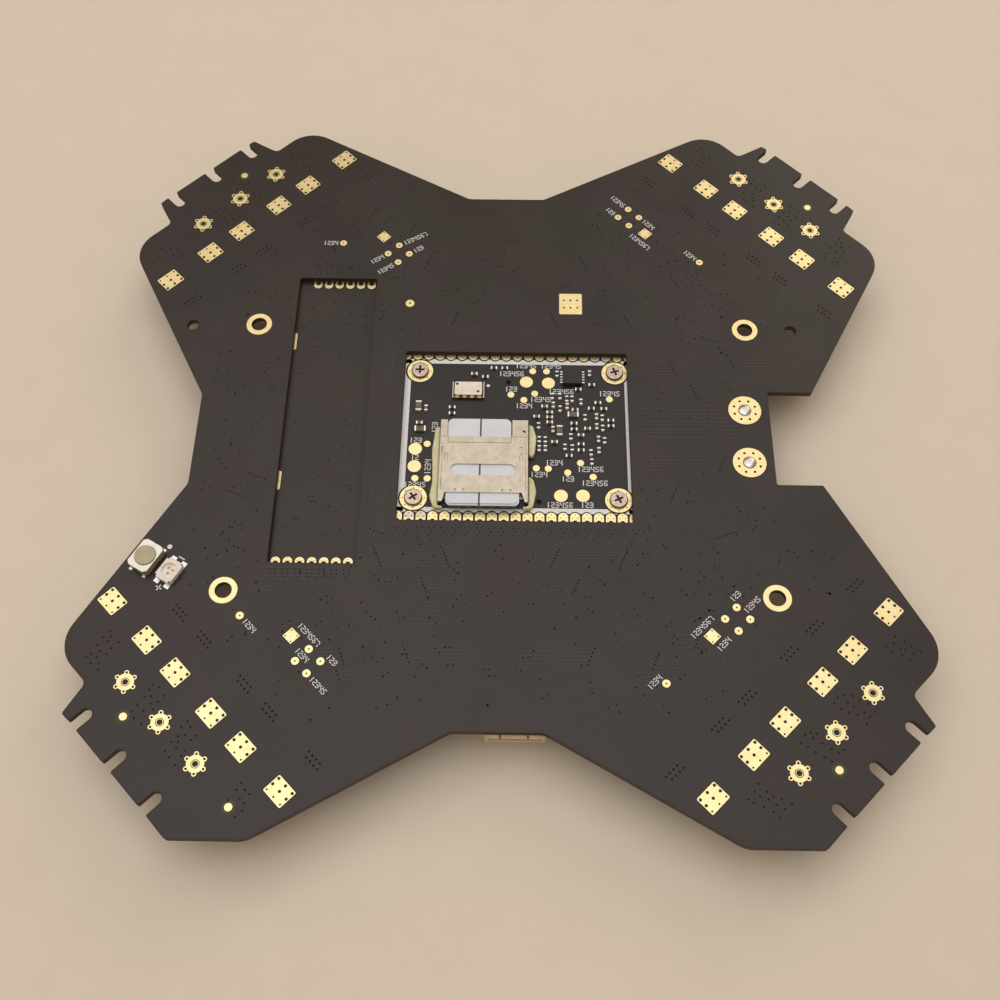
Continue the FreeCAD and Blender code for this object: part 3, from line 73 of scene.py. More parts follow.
class Shader:
    """A procedural material on a Principled shader, in the object's own metres."""

    def __init__(self, name):
        self.material = bpy.data.materials.new(name)
        self.material.use_nodes = True
        self.tree = self.material.node_tree
        self.surface = self.tree.nodes["Principled BSDF"]
        self.place = self.node("ShaderNodeTexCoord").outputs["Object"]

    def node(self, kind, **settings):
        made = self.tree.nodes.new(kind)
        for key, value in settings.items():
            setattr(made, key, value)
        return made

    def link(self, source, target):
        self.tree.links.new(source, target)

    def put(self, socket, value):
        """Connects an output, or sets a plain value."""
        if isinstance(value, bpy.types.NodeSocket):
            self.link(value, socket)
        elif isinstance(value, tuple) and len(socket.default_value) == 4:
            socket.default_value = (*value, 1.0)
        else:
            socket.default_value = value

    def set(self, **values):
        for key, value in values.items():
            self.put(self.surface.inputs[key.replace("_", " ")], value)

    def stretched(self, x=1.0, y=1.0, z=1.0, turn=0.0):
        mapping = self.node("ShaderNodeMapping")
        mapping.inputs["Scale"].default_value = (x, y, z)
        mapping.inputs["Rotation"].default_value = (0, 0, math.radians(turn))
        self.link(self.place, mapping.inputs["Vector"])
        return mapping.outputs["Vector"]

    def noise(self, size_mm, detail=3.0, rough=0.55, place=None):
        made = self.node("ShaderNodeTexNoise")
        made.inputs["Scale"].default_value = 1.0 / (size_mm * MM)
        made.inputs["Detail"].default_value = detail
        made.inputs["Roughness"].default_value = rough
        self.link(place or self.place, made.inputs["Vector"])
        return made.outputs["Fac"]

    def cells(self, size_mm, place=None, feature="F1", metric="EUCLIDEAN", output="Distance"):
        made = self.node("ShaderNodeTexVoronoi", feature=feature)
        if feature != "DISTANCE_TO_EDGE":
            made.distance = metric
        made.inputs["Scale"].default_value = 1.0 / (size_mm * MM)
        self.link(place or self.place, made.inputs["Vector"])
        return made.outputs[output]

    def math(self, operation, a, b=0.0, c=0.0):
        made = self.node("ShaderNodeMath", operation=operation)
        for socket, value in zip(made.inputs, (a, b, c)):
            self.put(socket, value)
        return made.outputs[0]

    def span(self, value, low, high, to_low=0.0, to_high=1.0):
        made = self.node("ShaderNodeMapRange")
        for socket, number in zip(made.inputs[:5], (value, low, high, to_low, to_high)):
            self.put(socket, number)
        return made.outputs[0]

    def mix(self, amount, a, b, blend="MIX"):
        made = self.node("ShaderNodeMix", data_type="RGBA", blend_type=blend)
        self.put(made.inputs["Factor"], amount)
        self.put(made.inputs["A"], a)
        self.put(made.inputs["B"], b)
        return made.outputs["Result"]

    def axis(self, letter):
        made = self.node("ShaderNodeSeparateXYZ")
        self.link(self.place, made.inputs[0])
        return made.outputs[letter]

    def facing_up(self):
        """1 on faces that look up or down, 0 on side walls."""
        geometry = self.node("ShaderNodeNewGeometry")
        split = self.node("ShaderNodeSeparateXYZ")
        self.link(geometry.outputs["True Normal"], split.inputs[0])
        return self.math("GREATER_THAN", self.math("ABSOLUTE", split.outputs["Z"]), 0.5)

    def bump(self, height, depth_mm, strength=1.0):
        made = self.node("ShaderNodeBump")
        made.inputs["Distance"].default_value = depth_mm * MM
        made.inputs["Strength"].default_value = strength
        self.link(height, made.inputs["Height"])
        earlier = self.surface.inputs["Normal"]
        if earlier.is_linked:
            self.link(earlier.links[0].from_socket, made.inputs["Normal"])
        self.link(made.outputs["Normal"], earlier)


def solder_mask(name, dark, light):
    """Dark lacquered laminate: a mottled face over faint copper areas, and raw layered edges."""
    s = Shader(name)
    cloud = s.noise(14, 4)
    speckle = s.noise(0.35, 2)
    pours = s.cells(9, s.stretched(turn=45), metric="CHEBYCHEV", output="Color")
    tone = s.mix(s.span(cloud, 0.3, 0.7), dark, light)
    tone = s.mix(0.10, tone, pours, "SOFT_LIGHT")
    tone = s.mix(s.span(speckle, 0.35, 0.65, 0.0, 0.10), tone, light)
    layers = s.node("ShaderNodeTexWave", bands_direction="Z")
    layers.inputs["Scale"].default_value = 900
    layers.inputs["Distortion"].default_value = 1.5
    s.link(s.place, layers.inputs["Vector"])
    edge = s.mix(layers.outputs["Fac"], (0.020, 0.012, 0.007), (0.055, 0.030, 0.013))
    face = s.facing_up()
    s.set(Base_Color=s.mix(face, edge, tone))
    polish = s.span(cloud, 0.3, 0.7, 0.36, 0.46)
    s.set(Roughness=s.mix(face, (0.75, 0.75, 0.75), polish), Specular_IOR_Level=0.45)
    s.bump(pours, 0.008)
    s.bump(s.noise(0.9, 3), 0.004)
    return s.material


def gold_plate(name, bright=(0.96, 0.83, 0.47), dull=(0.90, 0.74, 0.37)):
    """Thin matt gold over copper, with a slight blush from handling."""
    s = Shader(name)
    blush = s.noise(1.7, 4)
    grain = s.noise(0.06, 2)
    s.set(Base_Color=s.mix(s.span(blush, 0.35, 0.7), bright, dull), Metallic=1.0)
    s.set(Roughness=s.span(grain, 0.3, 0.7, 0.30, 0.48))
    s.bump(grain, 0.006)
    s.bump(blush, 0.02)
    return s.material


def metal(name, colour, second, rough=(0.2, 0.4), grain_mm=0.15, depth=0.01, stretch=(1, 1, 1)):
    """Bare or plated metal with grain, tone changes and fine scratches."""
    s = Shader(name)
    tone = s.noise(1.2, 4)
    grain = s.noise(grain_mm, 3, place=s.stretched(*stretch))
    s.set(Base_Color=s.mix(s.span(tone, 0.3, 0.7), colour, second), Metallic=1.0)
    s.set(Roughness=s.span(grain, 0.3, 0.7, *rough))
    s.bump(grain, depth)
    return s.material


def resin(name, colour, second, rough=0.55, grain_mm=0.08, depth=0.008):
    """Moulded plastic or epoxy with a fine sandy skin."""
    s = Shader(name)
    tone = s.noise(1.5, 3)
    grain = s.noise(grain_mm, 2)
    s.set(Base_Color=s.mix(s.span(tone, 0.3, 0.7), colour, second))
    s.set(Roughness=s.span(grain, 0.3, 0.7, rough - 0.08, rough + 0.08))
    s.bump(grain, depth)
    return s.material


def card_print():
    """White printed card with a thin dark line down its middle and pale wear."""
    s = Shader("card_print")
    low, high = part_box("memory_card")
    middle = low.x + 5.02 * MM
    stripe = s.math("LESS_THAN", s.math("ABSOLUTE", s.math("SUBTRACT", s.axis("X"), middle)), 0.13 * MM)
    wear = s.noise(2.5, 4)
    white = s.mix(s.span(wear, 0.3, 0.7), (0.70, 0.76, 0.86), (0.80, 0.84, 0.90))
    on_top = s.math("GREATER_THAN", s.axis("Z"), low.z + 0.6 * MM)
    face = s.mix(on_top, (0.05, 0.05, 0.055), s.mix(stripe, white, (0.05, 0.05, 0.06)))
    s.set(Base_Color=face, Roughness=0.38)
    s.bump(s.noise(0.1, 2), 0.004)
    return s.material


def glue_resin():
    """Set glue: pale yellow green, cloudy and glossy."""
    s = Shader("glue_resin")
    cloud = s.noise(1.8, 3)
    s.set(Base_Color=s.mix(s.span(cloud, 0.3, 0.7), (0.66, 0.66, 0.36), (0.80, 0.80, 0.56)))
    s.set(Roughness=0.22, Subsurface_Weight=0.35, Subsurface_Radius=(0.001, 0.0009, 0.0004))
    s.set(Subsurface_Scale=1.0)
    s.bump(s.noise(0.8, 2), 0.05)
    return s.material


def clear_resin():
    """Milky casting resin of the status light."""
    s = Shader("clear_resin")
    cloud = s.noise(0.6, 3)
    s.set(Base_Color=s.mix(s.span(cloud, 0.3, 0.7), (0.96, 0.95, 0.92), (0.82, 0.76, 0.66)))
    s.set(Roughness=0.28, Subsurface_Weight=0.35)
    s.set(Subsurface_Radius=(0.0006, 0.0005, 0.0004), Subsurface_Scale=1.0)
    return s.material


def switch_shell():
    """Pressed sheet: bright satin top, olive and ribbed down its sides."""
    s = Shader("switch_shell")
    face = s.facing_up()
    tone = s.span(s.noise(0.7, 3), 0.3, 0.7)
    ribs = s.node("ShaderNodeTexWave", bands_direction="DIAGONAL")
    ribs.inputs["Scale"].default_value = 700
    s.link(s.place, ribs.inputs["Vector"])
    side = s.mix(ribs.outputs["Fac"], (0.36, 0.34, 0.22), (0.56, 0.54, 0.38))
    top = s.mix(tone, (0.92, 0.92, 0.86), (0.80, 0.79, 0.71))
    s.set(Base_Color=s.mix(face, side, top), Metallic=0.35)
    s.set(Roughness=s.span(s.noise(0.15, 2), 0.3, 0.7, 0.28, 0.42))
    s.bump(s.noise(0.2, 2), 0.008)
    return s.material


def screw_metal():
    """Plated screw: worn bright crown, with painted shade that darkens the cross recess and the rim below the crown."""
    s = Shader("screw_metal")
    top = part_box("module_screws")[1].z
    # painted shade: below the crown the colour falls to near black, standing for the shade in the cross recess and down
    # the rim
    depth = s.span(s.axis("Z"), top - 0.32 * MM, top - 0.10 * MM)
    wear = s.span(s.noise(0.5, 4), 0.35, 0.65)
    crown = s.mix(wear, (0.66, 0.54, 0.46), (0.46, 0.37, 0.31))
    s.set(Base_Color=s.mix(depth, (0.05, 0.035, 0.03), crown), Metallic=1.0)
    s.set(Roughness=s.span(s.noise(0.1, 2), 0.3, 0.7, 0.26, 0.44))
    s.bump(s.noise(0.3, 3), 0.03)
    return s.material


def ink(name, colour, rough=0.5):
    """Screen-printed ink with slightly uneven cover."""
    s = Shader(name)
    cover = s.noise(0.25, 3)
    pale = tuple(channel * 0.86 for channel in colour)
    s.set(Base_Color=s.mix(s.span(cover, 0.35, 0.65), colour, pale), Roughness=rough)
    s.bump(cover, 0.004)
    return s.material


MASK = solder_mask("solder_mask", (0.021, 0.014, 0.012), (0.032, 0.024, 0.022))
MODULE_MASK = solder_mask("module_mask", (0.013, 0.010, 0.009), (0.020, 0.017, 0.016))
TRACE = solder_mask("mask_over_trace", (0.031, 0.024, 0.021), (0.043, 0.035, 0.032))
RIM = ink("bare_laminate_rim", (0.034, 0.019, 0.007), 0.6)
HALO = ink("dark_halo", (0.008, 0.006, 0.005), 0.55)
OLIVE_HALO = ink("olive_halo", (0.060, 0.058, 0.014), 0.5)
HOLE = ink("hole_shadow", (0.004, 0.003, 0.003), 0.8)
WHITE = ink("white_ink", (0.90, 0.93, 0.96), 0.45)
GOLD = gold_plate("gold_plate")
SILVERED = metal("dull_solder_wash", (0.72, 0.66, 0.50), (0.58, 0.52, 0.40), (0.35, 0.55))
SOLDER = metal("solder", (0.78, 0.79, 0.80), (0.62, 0.62, 0.62), (0.16, 0.34), 0.3, 0.03)
CHIP_END = metal("chip_end_solder", (0.95, 0.94, 0.92), (0.84, 0.83, 0.80), (0.36, 0.52))
TIN = metal("tinned_lead", (0.80, 0.79, 0.76), (0.66, 0.65, 0.62), (0.22, 0.40))
STEEL = metal("screw_steel", (0.60, 0.49, 0.42), (0.36, 0.29, 0.25), (0.22, 0.42), 0.3, 0.02)
SCREW = screw_metal()
LID_STEEL = metal("lid_steel", (0.66, 0.60, 0.50), (0.52, 0.46, 0.37), (0.36, 0.52), 0.2, 0.008, (1, 4, 1))
SENSOR_STEEL = metal("sensor_steel", (0.78, 0.69, 0.62), (0.68, 0.58, 0.51), (0.34, 0.48))
# painted shade: a dark finish for the strips that stand for the shading along the lid's pressed steps and marks
LID_STEP_SHADE = metal("lid_step_shade", (0.30, 0.27, 0.21), (0.20, 0.18, 0.14), (0.45, 0.6))
BRASS = metal("turned_brass", (0.72, 0.52, 0.22), (0.60, 0.42, 0.17), (0.2, 0.35), 0.1, 0.01, (1, 1, 8))
CAN = metal("can_aluminium", (0.80, 0.81, 0.82), (0.70, 0.71, 0.72), (0.24, 0.36), 0.12, 0.006, (1, 1, 6))
BLACK = resin("black_resin", (0.012, 0.012, 0.013), (0.022, 0.022, 0.024))
GREY = resin("grey_resin", (0.035, 0.035, 0.037), (0.055, 0.055, 0.058))
SOCKET = resin("socket_plastic", (0.010, 0.010, 0.011), (0.020, 0.020, 0.021), 0.45)
FERRITE = resin("ferrite", (0.045, 0.045, 0.048), (0.075, 0.074, 0.075), 0.7, 0.2, 0.03)
CERAMIC = resin("capacitor_ceramic", (0.21, 0.165, 0.10), (0.13, 0.10, 0.06), 0.42)
CHIP_BLACK = resin("resistor_black", (0.013, 0.013, 0.015), (0.03, 0.03, 0.035), 0.35)
BUTTON = resin("button_plastic", (0.56, 0.50, 0.33), (0.46, 0.41, 0.27), 0.38, 0.15, 0.006)
TAN = resin("connector_plastic", (0.66, 0.52, 0.33), (0.56, 0.43, 0.26), 0.5)
CARD = card_print()
GLUE = glue_resin()
SENSOR_BASE = resin("sensor_ceramic", (0.085, 0.070, 0.025), (0.055, 0.045, 0.018), 0.4)
SWITCH_BASE = resin("switch_base_plastic", (0.36, 0.34, 0.21), (0.26, 0.25, 0.15), 0.45)
CLEAR = clear_resin()
RED = resin("light_chip_red", (0.62, 0.24, 0.18), (0.70, 0.42, 0.24), 0.3)
SHELL = switch_shell()

PAINT = {
    MASK: ["main_board", "side_module_board"],
    MODULE_MASK: ["core_module_board"],
    GOLD: [
        "mounting_hole_lands", "thermal_pads", "motor_wire_pads", "power_pads", "round_test_pads",
        "square_test_pads", "fiducial_dots", "sense_pads", "core_module_edge_pads",
        "core_module_corner_pads", "core_module_test_pads", "card_socket_contacts",
        "side_module_edge_pads", "side_module_tabs",
    ],
    SOLDER: ["power_post_solder"],
    TIN: [
        "power_posts", "transceiver_leads", "switch_terminals", "status_light_terminals",
        "transistor_lead_frames", "regulator_leads", "front_connector_pins", "filter_capacitor_ends",
    ],
    SCREW: ["module_screws"],
    STEEL: ["card_lid_hinge_pins", "switch_dome", "crystal"],
    LID_STEEL: ["card_lid"],
    SENSOR_STEEL: ["pressure_sensor_lid"],
    BRASS: ["module_standoffs"],
    CAN: ["bulk_capacitor_cans"],
    BLACK: [
        "transceiver_body", "power_transistors", "gate_drivers", "regulator_chips", "processor",
        "motion_sensor", "side_module_chips",
    ],
    GREY: ["motor_controllers", "current_shunts"],
    SOCKET: ["card_socket_base", "bulk_capacitor_bases"],
    SENSOR_BASE: ["pressure_sensor_base"],
    SWITCH_BASE: ["switch_base"],
    FERRITE: ["power_inductors"],
    CERAMIC: ["chip_capacitors", "filter_capacitors"],
    CHIP_END: ["chip_end_caps"],
    CHIP_BLACK: ["chip_resistors"],
    BUTTON: ["switch_button"],
    TAN: ["front_connector_housing"],
    CARD: ["memory_card"],
    CLEAR: ["status_light_body"],
    RED: ["status_light_chips"],
    SHELL: ["switch_cover"],
    GLUE: ["glue_beads"],
}


def paint_nodes():
    """Gives every CAD node its finish."""
    for material, names in PAINT.items():
        for name in names:
            data = NODES[name].data
            data.materials.clear()
            data.materials.append(material)


# ------------------------------------------------------------ mesh building

def object_from(name, mesh, material, body="board"):
    """Adds a finished mesh in the row frame, riding on a CAD body."""
    mesh.materials.append(material)
    made = bpy.data.objects.new(name, mesh)
    bpy.context.collection.objects.link(made)
    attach(made, body)
    return made


def flat_piece(name, shapes, height, material, body="board", thick=0.0):
    """Thin printed or plated shapes at one height: each shape is a ring of (x, y) in millimetres."""
    mesh = bpy.data.meshes.new(name)
    made = bmesh.new()
    for shape in shapes:
        corners = [made.verts.new((x * MM, y * MM, height * MM)) for x, y in shape]
        made.faces.new(corners)
    if thick:
        raised = bmesh.ops.extrude_face_region(made, geom=made.faces[:])
        tops = [item for item in raised["geom"] if isinstance(item, bmesh.types.BMVert)]
        bmesh.ops.translate(made, vec=(0, 0, thick * MM), verts=tops)
    bmesh.ops.recalc_face_normals(made, faces=made.faces[:])
    made.to_mesh(mesh)
    made.free()
    return object_from(name, mesh, material, body)


def circle(x, y, radius, sides=24, turn=0.0):
    """Points round a circle."""
    step = 2 * math.pi / sides
    return [(x + radius * math.cos(turn + i * step), y + radius * math.sin(turn + i * step)) for i in range(sides)]


def band(x, y, inner, outer, sides=28):
    """A flat ring as four-sided shapes."""
    near = circle(x, y, inner, sides)
    far = circle(x, y, outer, sides)
    return [(near[i], far[i], far[(i + 1) % sides], near[(i + 1) % sides]) for i in range(sides)]


def bar(low_x, low_y, high_x, high_y):
    """Upright rectangle."""
    return [(low_x, low_y), (high_x, low_y), (high_x, high_y), (low_x, high_y)]


def turned_box(x, y, half_x, half_y, degrees):
    """Rectangle turned about its centre."""
    c = math.cos(math.radians(degrees))
    s = math.sin(math.radians(degrees))
    corners = ((-half_x, -half_y), (half_x, -half_y), (half_x, half_y), (-half_x, half_y))
    return [(x + c * dx - s * dy, y + s * dx + c * dy) for dx, dy in corners]


def stroke(start, end, width):
    """A straight printed stroke with square ends."""
    run = Vector(end) - Vector(start)
    side = Vector((-run.y, run.x)).normalized() * width / 2
    along = run.normalized() * width / 2
    a = Vector(start) - along
    b = Vector(end) + along
    return [tuple(a - side), tuple(b - side), tuple(b + side), tuple(a + side)]


def arm_point(arm, along, out):
    """Board place of a point on an arm's own axes."""
    return (arm[0] * (out + along) / ROOT_TWO, arm[1] * (out - along) / ROOT_TWO)


def islands(node):
    """Centre and half size, in millimetres, of each separate solid of a CAD node."""
    data = NODES[node].data
    keys = {}
    home = []
    for vertex in data.vertices:
        key = tuple(round(c / (0.001 * MM)) for c in vertex.co)
        home.append(keys.setdefault(key, len(keys)))
    parent = list(range(len(keys)))

    def root(i):
        while parent[i] != i:
            parent[i] = parent[parent[i]]
            i = parent[i]
        return i

    for edge in data.edges:
        a, b = (root(home[i]) for i in edge.vertices)
        parent[a] = b
    groups = {}
    for vertex, i in zip(data.vertices, home):
        groups.setdefault(root(i), []).append(vertex.co)
    found = []
    for points in groups.values():
        low = Vector([min(p[k] for p in points) for k in range(3)]) / MM
        high = Vector([max(p[k] for p in points) for k in range(3)]) / MM
        found.append(((low + high) / 2, (high - low) / 2))
    return sorted(found, key=lambda item: (round(item[0].x, 2), round(item[0].y, 2)))


def tree_of(name):
    """Search tree of one CAD node."""
    data = NODES[name].data
    return BVHTree.FromPolygons([v.co for v in data.vertices], [tuple(p.vertices) for p in data.polygons])


BOARD_TREE = tree_of("main_board")
OTHER_TREES = [tree_of(name) for name in NODES if name != "main_board"]


def clear_spot(x, y, margin=0.35, side=1):
    """True where the lacquered face lies open, with a margin all round; side -1 is the underside."""
    face = (TOP if side > 0 else UNDER) * MM
    for dx, dy in ((0, 0), (margin, 0), (-margin, 0), (0, margin), (0, -margin)):
        start = Vector(((x + dx) * MM, (y + dy) * MM, face + side * 12 * MM))
        look = Vector((0, 0, -side))
        place = BOARD_TREE.ray_cast(start, look)[0]
        if place is None or abs(place.z - face) > 0.01 * MM:
            return False
        if any(tree.ray_cast(start, look, 12 * MM)[0] for tree in OTHER_TREES):
            return False
    return True


# ------------------------------------------------------------ board surface

def edge_rim(side=1):
    """The strip of bare laminate that runs along every cut edge of one face of the main board."""
    name = "edge_rim" if side > 0 else "edge_rim_underside"
    face = (TOP if side > 0 else UNDER) * MM
    made = bmesh.new()
    made.from_mesh(NODES["main_board"].data)
    others = [f for f in made.faces if abs(f.calc_center_median().z - face) > 0.01 * MM]
    bmesh.ops.delete(made, geom=others, context="FACES")
    bmesh.ops.remove_doubles(made, verts=made.verts[:], dist=0.0005 * MM)
    ring = bmesh.ops.inset_region(
        made, faces=made.faces[:], thickness=0.16 * MM, use_even_offset=True, use_boundary=True)["faces"]
    ring = set(ring)
    bmesh.ops.delete(made, geom=[f for f in made.faces if f not in ring], context="FACES")
    bmesh.ops.translate(made, verts=made.verts[:], vec=(0, 0, side * SKIN * MM))
    mesh = bpy.data.meshes.new(name)
    made.to_mesh(mesh)
    made.free()
    return object_from(name, mesh, RIM)


def run_points(start, legs):
    """Corner points of a trace from a start and a list of (dx, dy)."""
    points = [Vector(start)]
    for leg in legs:
        points.append(points[-1] + Vector(leg))
    return points


def offset_run(points, distance):
    """The same run shifted sideways, with mitred corners."""
    shifted = []
    for i, point in enumerate(points):
        before = (point - points[i - 1]).normalized() if i else None
        after = (points[i + 1] - point).normalized() if i + 1 < len(points) else None
        sides = [Vector((-d.y, d.x)) for d in (before, after) if d is not None]
        side = sum(sides, Vector((0, 0))).normalized()
        shifted.append(point + side * distance / max(side.dot(sides[0]), 0.3))
    return shifted


TAKEN = {1: set(), -1: set()}
TRACE_CELL = 0.5


def cell_of(point):
    """Grid square of a place, used to keep one bus from crossing another."""
    return round(point.x / TRACE_CELL), round(point.y / TRACE_CELL)


def untaken(point, side):
    """True where no earlier bus runs close by."""
    column, row = cell_of(point)
    taken = TAKEN[side]
    return not any((column + i, row + j) in taken for i in (-1, 0, 1) for j in (-1, 0, 1))


def open_strokes(a, b, width, side, used):
    """The parts of a straight trace that run over clear board; used collects the squares they take."""
    count = max(1, round((b - a).length / 0.8))
    marks = [a.lerp(b, i / count) for i in range(count + 1)]
    good = [untaken(mark, side) and clear_spot(mark.x, mark.y, 0.5, side) for mark in marks]
    shapes = []
    first = None
    for i in range(count + 1):
        if good[i] and first is None:
            first = i
        ends = i == count or not good[i]
        if first is not None and ends:
            last = i if good[i] else i - 1
            if last > first:
                shapes.append(stroke(marks[first], marks[last], width))
                used.update(cell_of(mark) for mark in marks[first:last + 1])
            first = None
    return shapes


def trace_bus(start, legs, count, pitch=0.5, width=0.2, side=1):
    """Parallel traces that turn corners together."""
    shapes = []
    used = set()
    base = run_points(start, legs)
    for i in range(count):
        line = offset_run(base, (i - (count - 1) / 2) * pitch)
        for a, b in zip(line, line[1:]):
            shapes += open_strokes(a, b, width, side, used)
    TAKEN[side] |= used
    return shapes


def board_traces():
    """Buses between the modules, the arms and the battery lands, under the lacquer."""
    chance = random.Random(23)
    shapes = []
    for side in (1, -1):
        shapes += trace_bus((side * 3, 17.5), [(side * 5, 4), (side * 12, 0), (side * 8, 8), (side * 6, 1)], 6)
        shapes += trace_bus((side * 4, -17.0), [(side * 4, -4), (side * 10, 0), (side * 9, -9)], 7)
        shapes += trace_bus((side * 2, -25.5), [(side * 9, 0), (side * 11, -11), (side * 5, 0)], 5, 0.55)
        shapes += trace_bus((side * 3, 33.0), [(side * 10, 0), (side * 10, 10), (side * 6, 0)], 6, 0.55)
        shapes += trace_bus((side * 2, 40.0), [(side * 14, 0), (side * 8, 8)], 4, 0.6)
        shapes += trace_bus((side * 3, -36.0), [(side * 10, 0), (side * 12, -12)], 5, 0.6)
    shapes += trace_bus((22.0, 12.0), [(5, 0), (6, 6), (0, 8)], 6, 0.55)
    shapes += trace_bus((22.0, 8.0), [(8, 0), (6, 6), (6, 0)], 5, 0.55)
    shapes += trace_bus((22.0, -10.0), [(4, 0), (7, -7), (0, -7)], 6, 0.55)
    shapes += trace_bus((21.5, 2.5), [(15, 0)], 9, 0.7, 0.3)
    shapes += trace_bus((21.5, -5.0), [(12, 0), (4, -4)], 5, 0.6)
    shapes += trace_bus((-18.4, -8.0), [(0, -9), (-7, -7), (-10, 0)], 4, 0.6)
    shapes += trace_bus((-18.4, 9.0), [(0, 12), (3, 3), (0, 6)], 4, 0.5)
    shapes += trace_bus((-37.0, 6.0), [(0, -14), (-3, -3), (0, -6)], 5, 0.6)
    shapes += trace_bus((-40.0, 18.0), [(0, 8), (6, 6)], 5, 0.6)
    shapes += trace_bus((-34.0, 32.0), [(5, 4), (12, 0)], 5, 0.5)
    shapes += trace_bus((-36.0, -24.5), [(12, 0), (6, -6), (10, 0)], 8, 0.65)
    for arm in ARMS:
        inward = (-arm[0] * 6.0, -arm[1] * 6.0)
        for along in (-19.0, -12.0, -4.0, 6.0, 14.0):
            turn = (arm[0] * 3.0 * chance.choice((-1, 1)), 0)
            shapes += trace_bus(arm_point(arm, along, 52.0), [inward, turn], chance.choice((3, 4)), 0.6)
    for i in range(90):
        x = chance.uniform(-40, 46)
        y = chance.uniform(-42, 42)
        run = chance.choice(((1, 0), (0, 1), (0.7, 0.7), (0.7, -0.7)))
        far = chance.uniform(1.5, 5)
        shapes += trace_bus((x, y), [(run[0] * far, run[1] * far)], chance.choice((1, 1, 2)), 0.5)
    return flat_piece("board_traces", shapes, TOP + 0.001, TRACE, thick=0.02)


def underside_surface():
    """Buses and lacquered holes on the underside, between the power parts."""
    chance = random.Random(41)
    shapes = []
    for i in range(170):
        x = chance.uniform(-46, 48)
        y = chance.uniform(-48, 48)
        run = chance.choice(((1, 0), (0, 1), (0.7, 0.7), (0.7, -0.7)))
        far = chance.uniform(3, 9)
        shapes += trace_bus((x, y), [(run[0] * far, run[1] * far)], chance.choice((2, 3, 4)), 0.55, side=-1)
    flat_piece("underside_traces", shapes, UNDER - 0.021, TRACE, thick=0.02)
    spots = []
    for i in range(520):
        spots.append((chance.uniform(-52, 52), chance.uniform(-52, 52), chance.choice((0.13, 0.16, 0.19))))
    spots = [spot for spot in spots if clear_spot(spot[0], spot[1], 0.35, -1)]
    holes = [circle(x, y, radius, 10) for x, y, radius in spots]
    return flat_piece("underside_vias", holes, UNDER - 0.025, HOLE)


def arm_lands(arm):
    """The thermal lands of one arm, as (place across the arm, distance out along it)."""
    found = []
    for centre, half in islands("thermal_pads"):
        if centre.x * arm[0] > 0 and centre.y * arm[1] > 0:
            out = (centre.x * arm[0] + centre.y * arm[1]) / ROOT_TWO
            across = (centre.x * arm[1] - centre.y * arm[0]) / ROOT_TWO
            found.append((across, out))
    return sorted(found)


def tented_vias():
    """Small lacquered holes: blocks beside the drivers, rows by the windows, and strays."""
    chance = random.Random(11)
    spots = []
    for arm in ARMS:
        hand = arm[0] * arm[1]
        lands = arm_lands(arm)
        for number, (land_along, land_out) in enumerate(lands):
            middle = land_along + (1.1 if number % 2 else 0.1)
            for row in (-1, 1):
                for step in range(4):
                    along = hand * (middle + (step - 1.5) * 0.75 - row * 0.19)
                    spots.append((*arm_point(arm, along, land_out - 5.85 + row * 0.39), 0.2))
        for middle, count in ((-15.5, 12), (3.6, 15), (-3.8, 15), (14.5, 15)):
            for i in range(count):
                along = hand * (middle + (i % 3 - 1) * 1.15 + chance.uniform(-0.3, 0.3) - (i // 3) * 0.3)
                out = 62.6 + (i // 3) * 1.15 + chance.uniform(-0.3, 0.3)
                spots.append((*arm_point(arm, along, out), 0.18))
        for i in range(60):
            along = chance.uniform(-20, 20)
            out = chance.uniform(34, 52.0)
            spots.append((*arm_point(arm, along, out), chance.choice((0.13, 0.16, 0.19))))
    for centre, half in islands("core_module_edge_pads"):
        if centre.y < 0:
            for dx, dy in ((-0.4, -1.9), (0.4, -1.9), (0.0, -2.5), (-0.4, -3.1)):
                spots.append((centre.x + dx, centre.y + dy, 0.13))
        else:
            for dx, dy in ((-0.4, 1.9), (0.4, 1.9), (0.0, 2.5)):
                spots.append((centre.x + dx, centre.y + dy, 0.12))
    for centre, half in islands("side_module_edge_pads"):
        side = -1 if centre.y < 0 else 1
        for dx, dy in ((-0.37, 1.35), (0.37, 1.35), (-0.37, 2.0), (0.37, 2.0), (0.0, 2.6)):
            spots.append((centre.x + dx, centre.y + side * dy, 0.13))
    for i in range(260):
        x = chance.uniform(-36, 36)
        y = chance.choice((-1, 1)) * chance.uniform(18, 44)
        if abs(x) + abs(y) < 66:
            spots.append((x, y, chance.choice((0.13, 0.16, 0.19))))
            if chance.random() < 0.35:
                spots.append((x + chance.choice((0.7, -0.7)), y + chance.choice((0, 0.6)), 0.15))
    for i in range(50):
        spots.append((chance.uniform(21, 36), chance.uniform(-20, 20), 0.15))
        spots.append((chance.uniform(-46, -36), chance.uniform(-18, 15), 0.15))
    spots = [spot for spot in spots if clear_spot(spot[0], spot[1])]
    shapes = [circle(x, y, radius, 10) for x, y, radius in spots]
    flat_piece("tented_vias", shapes, TOP + 0.023, HOLE)
    rings = [shape for x, y, radius in spots for shape in band(x, y, radius, radius + 0.1, 10)]
    return flat_piece("tented_via_lips", rings, TOP + 0.001, TRACE, thick=0.008)


def side_module_vias():
    """Scattered lacquered holes on the side module's panel."""
    chance = random.Random(5)
    low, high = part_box("side_module_board")
    spots = []
    for i in range(46):
        x = chance.uniform(low.x / MM + 2.6, high.x / MM - 2.6)
        y = chance.uniform(low.y / MM + 6, high.y / MM - 6)
        spots.append((x, y))
        if chance.random() < 0.4:
            spots.append((x + 0.55, y))
    shapes = [circle(x, y, 0.14, 10) for x, y in spots]
    return flat_piece("side_module_vias", shapes, MODULE_TOP + 0.006, HOLE)


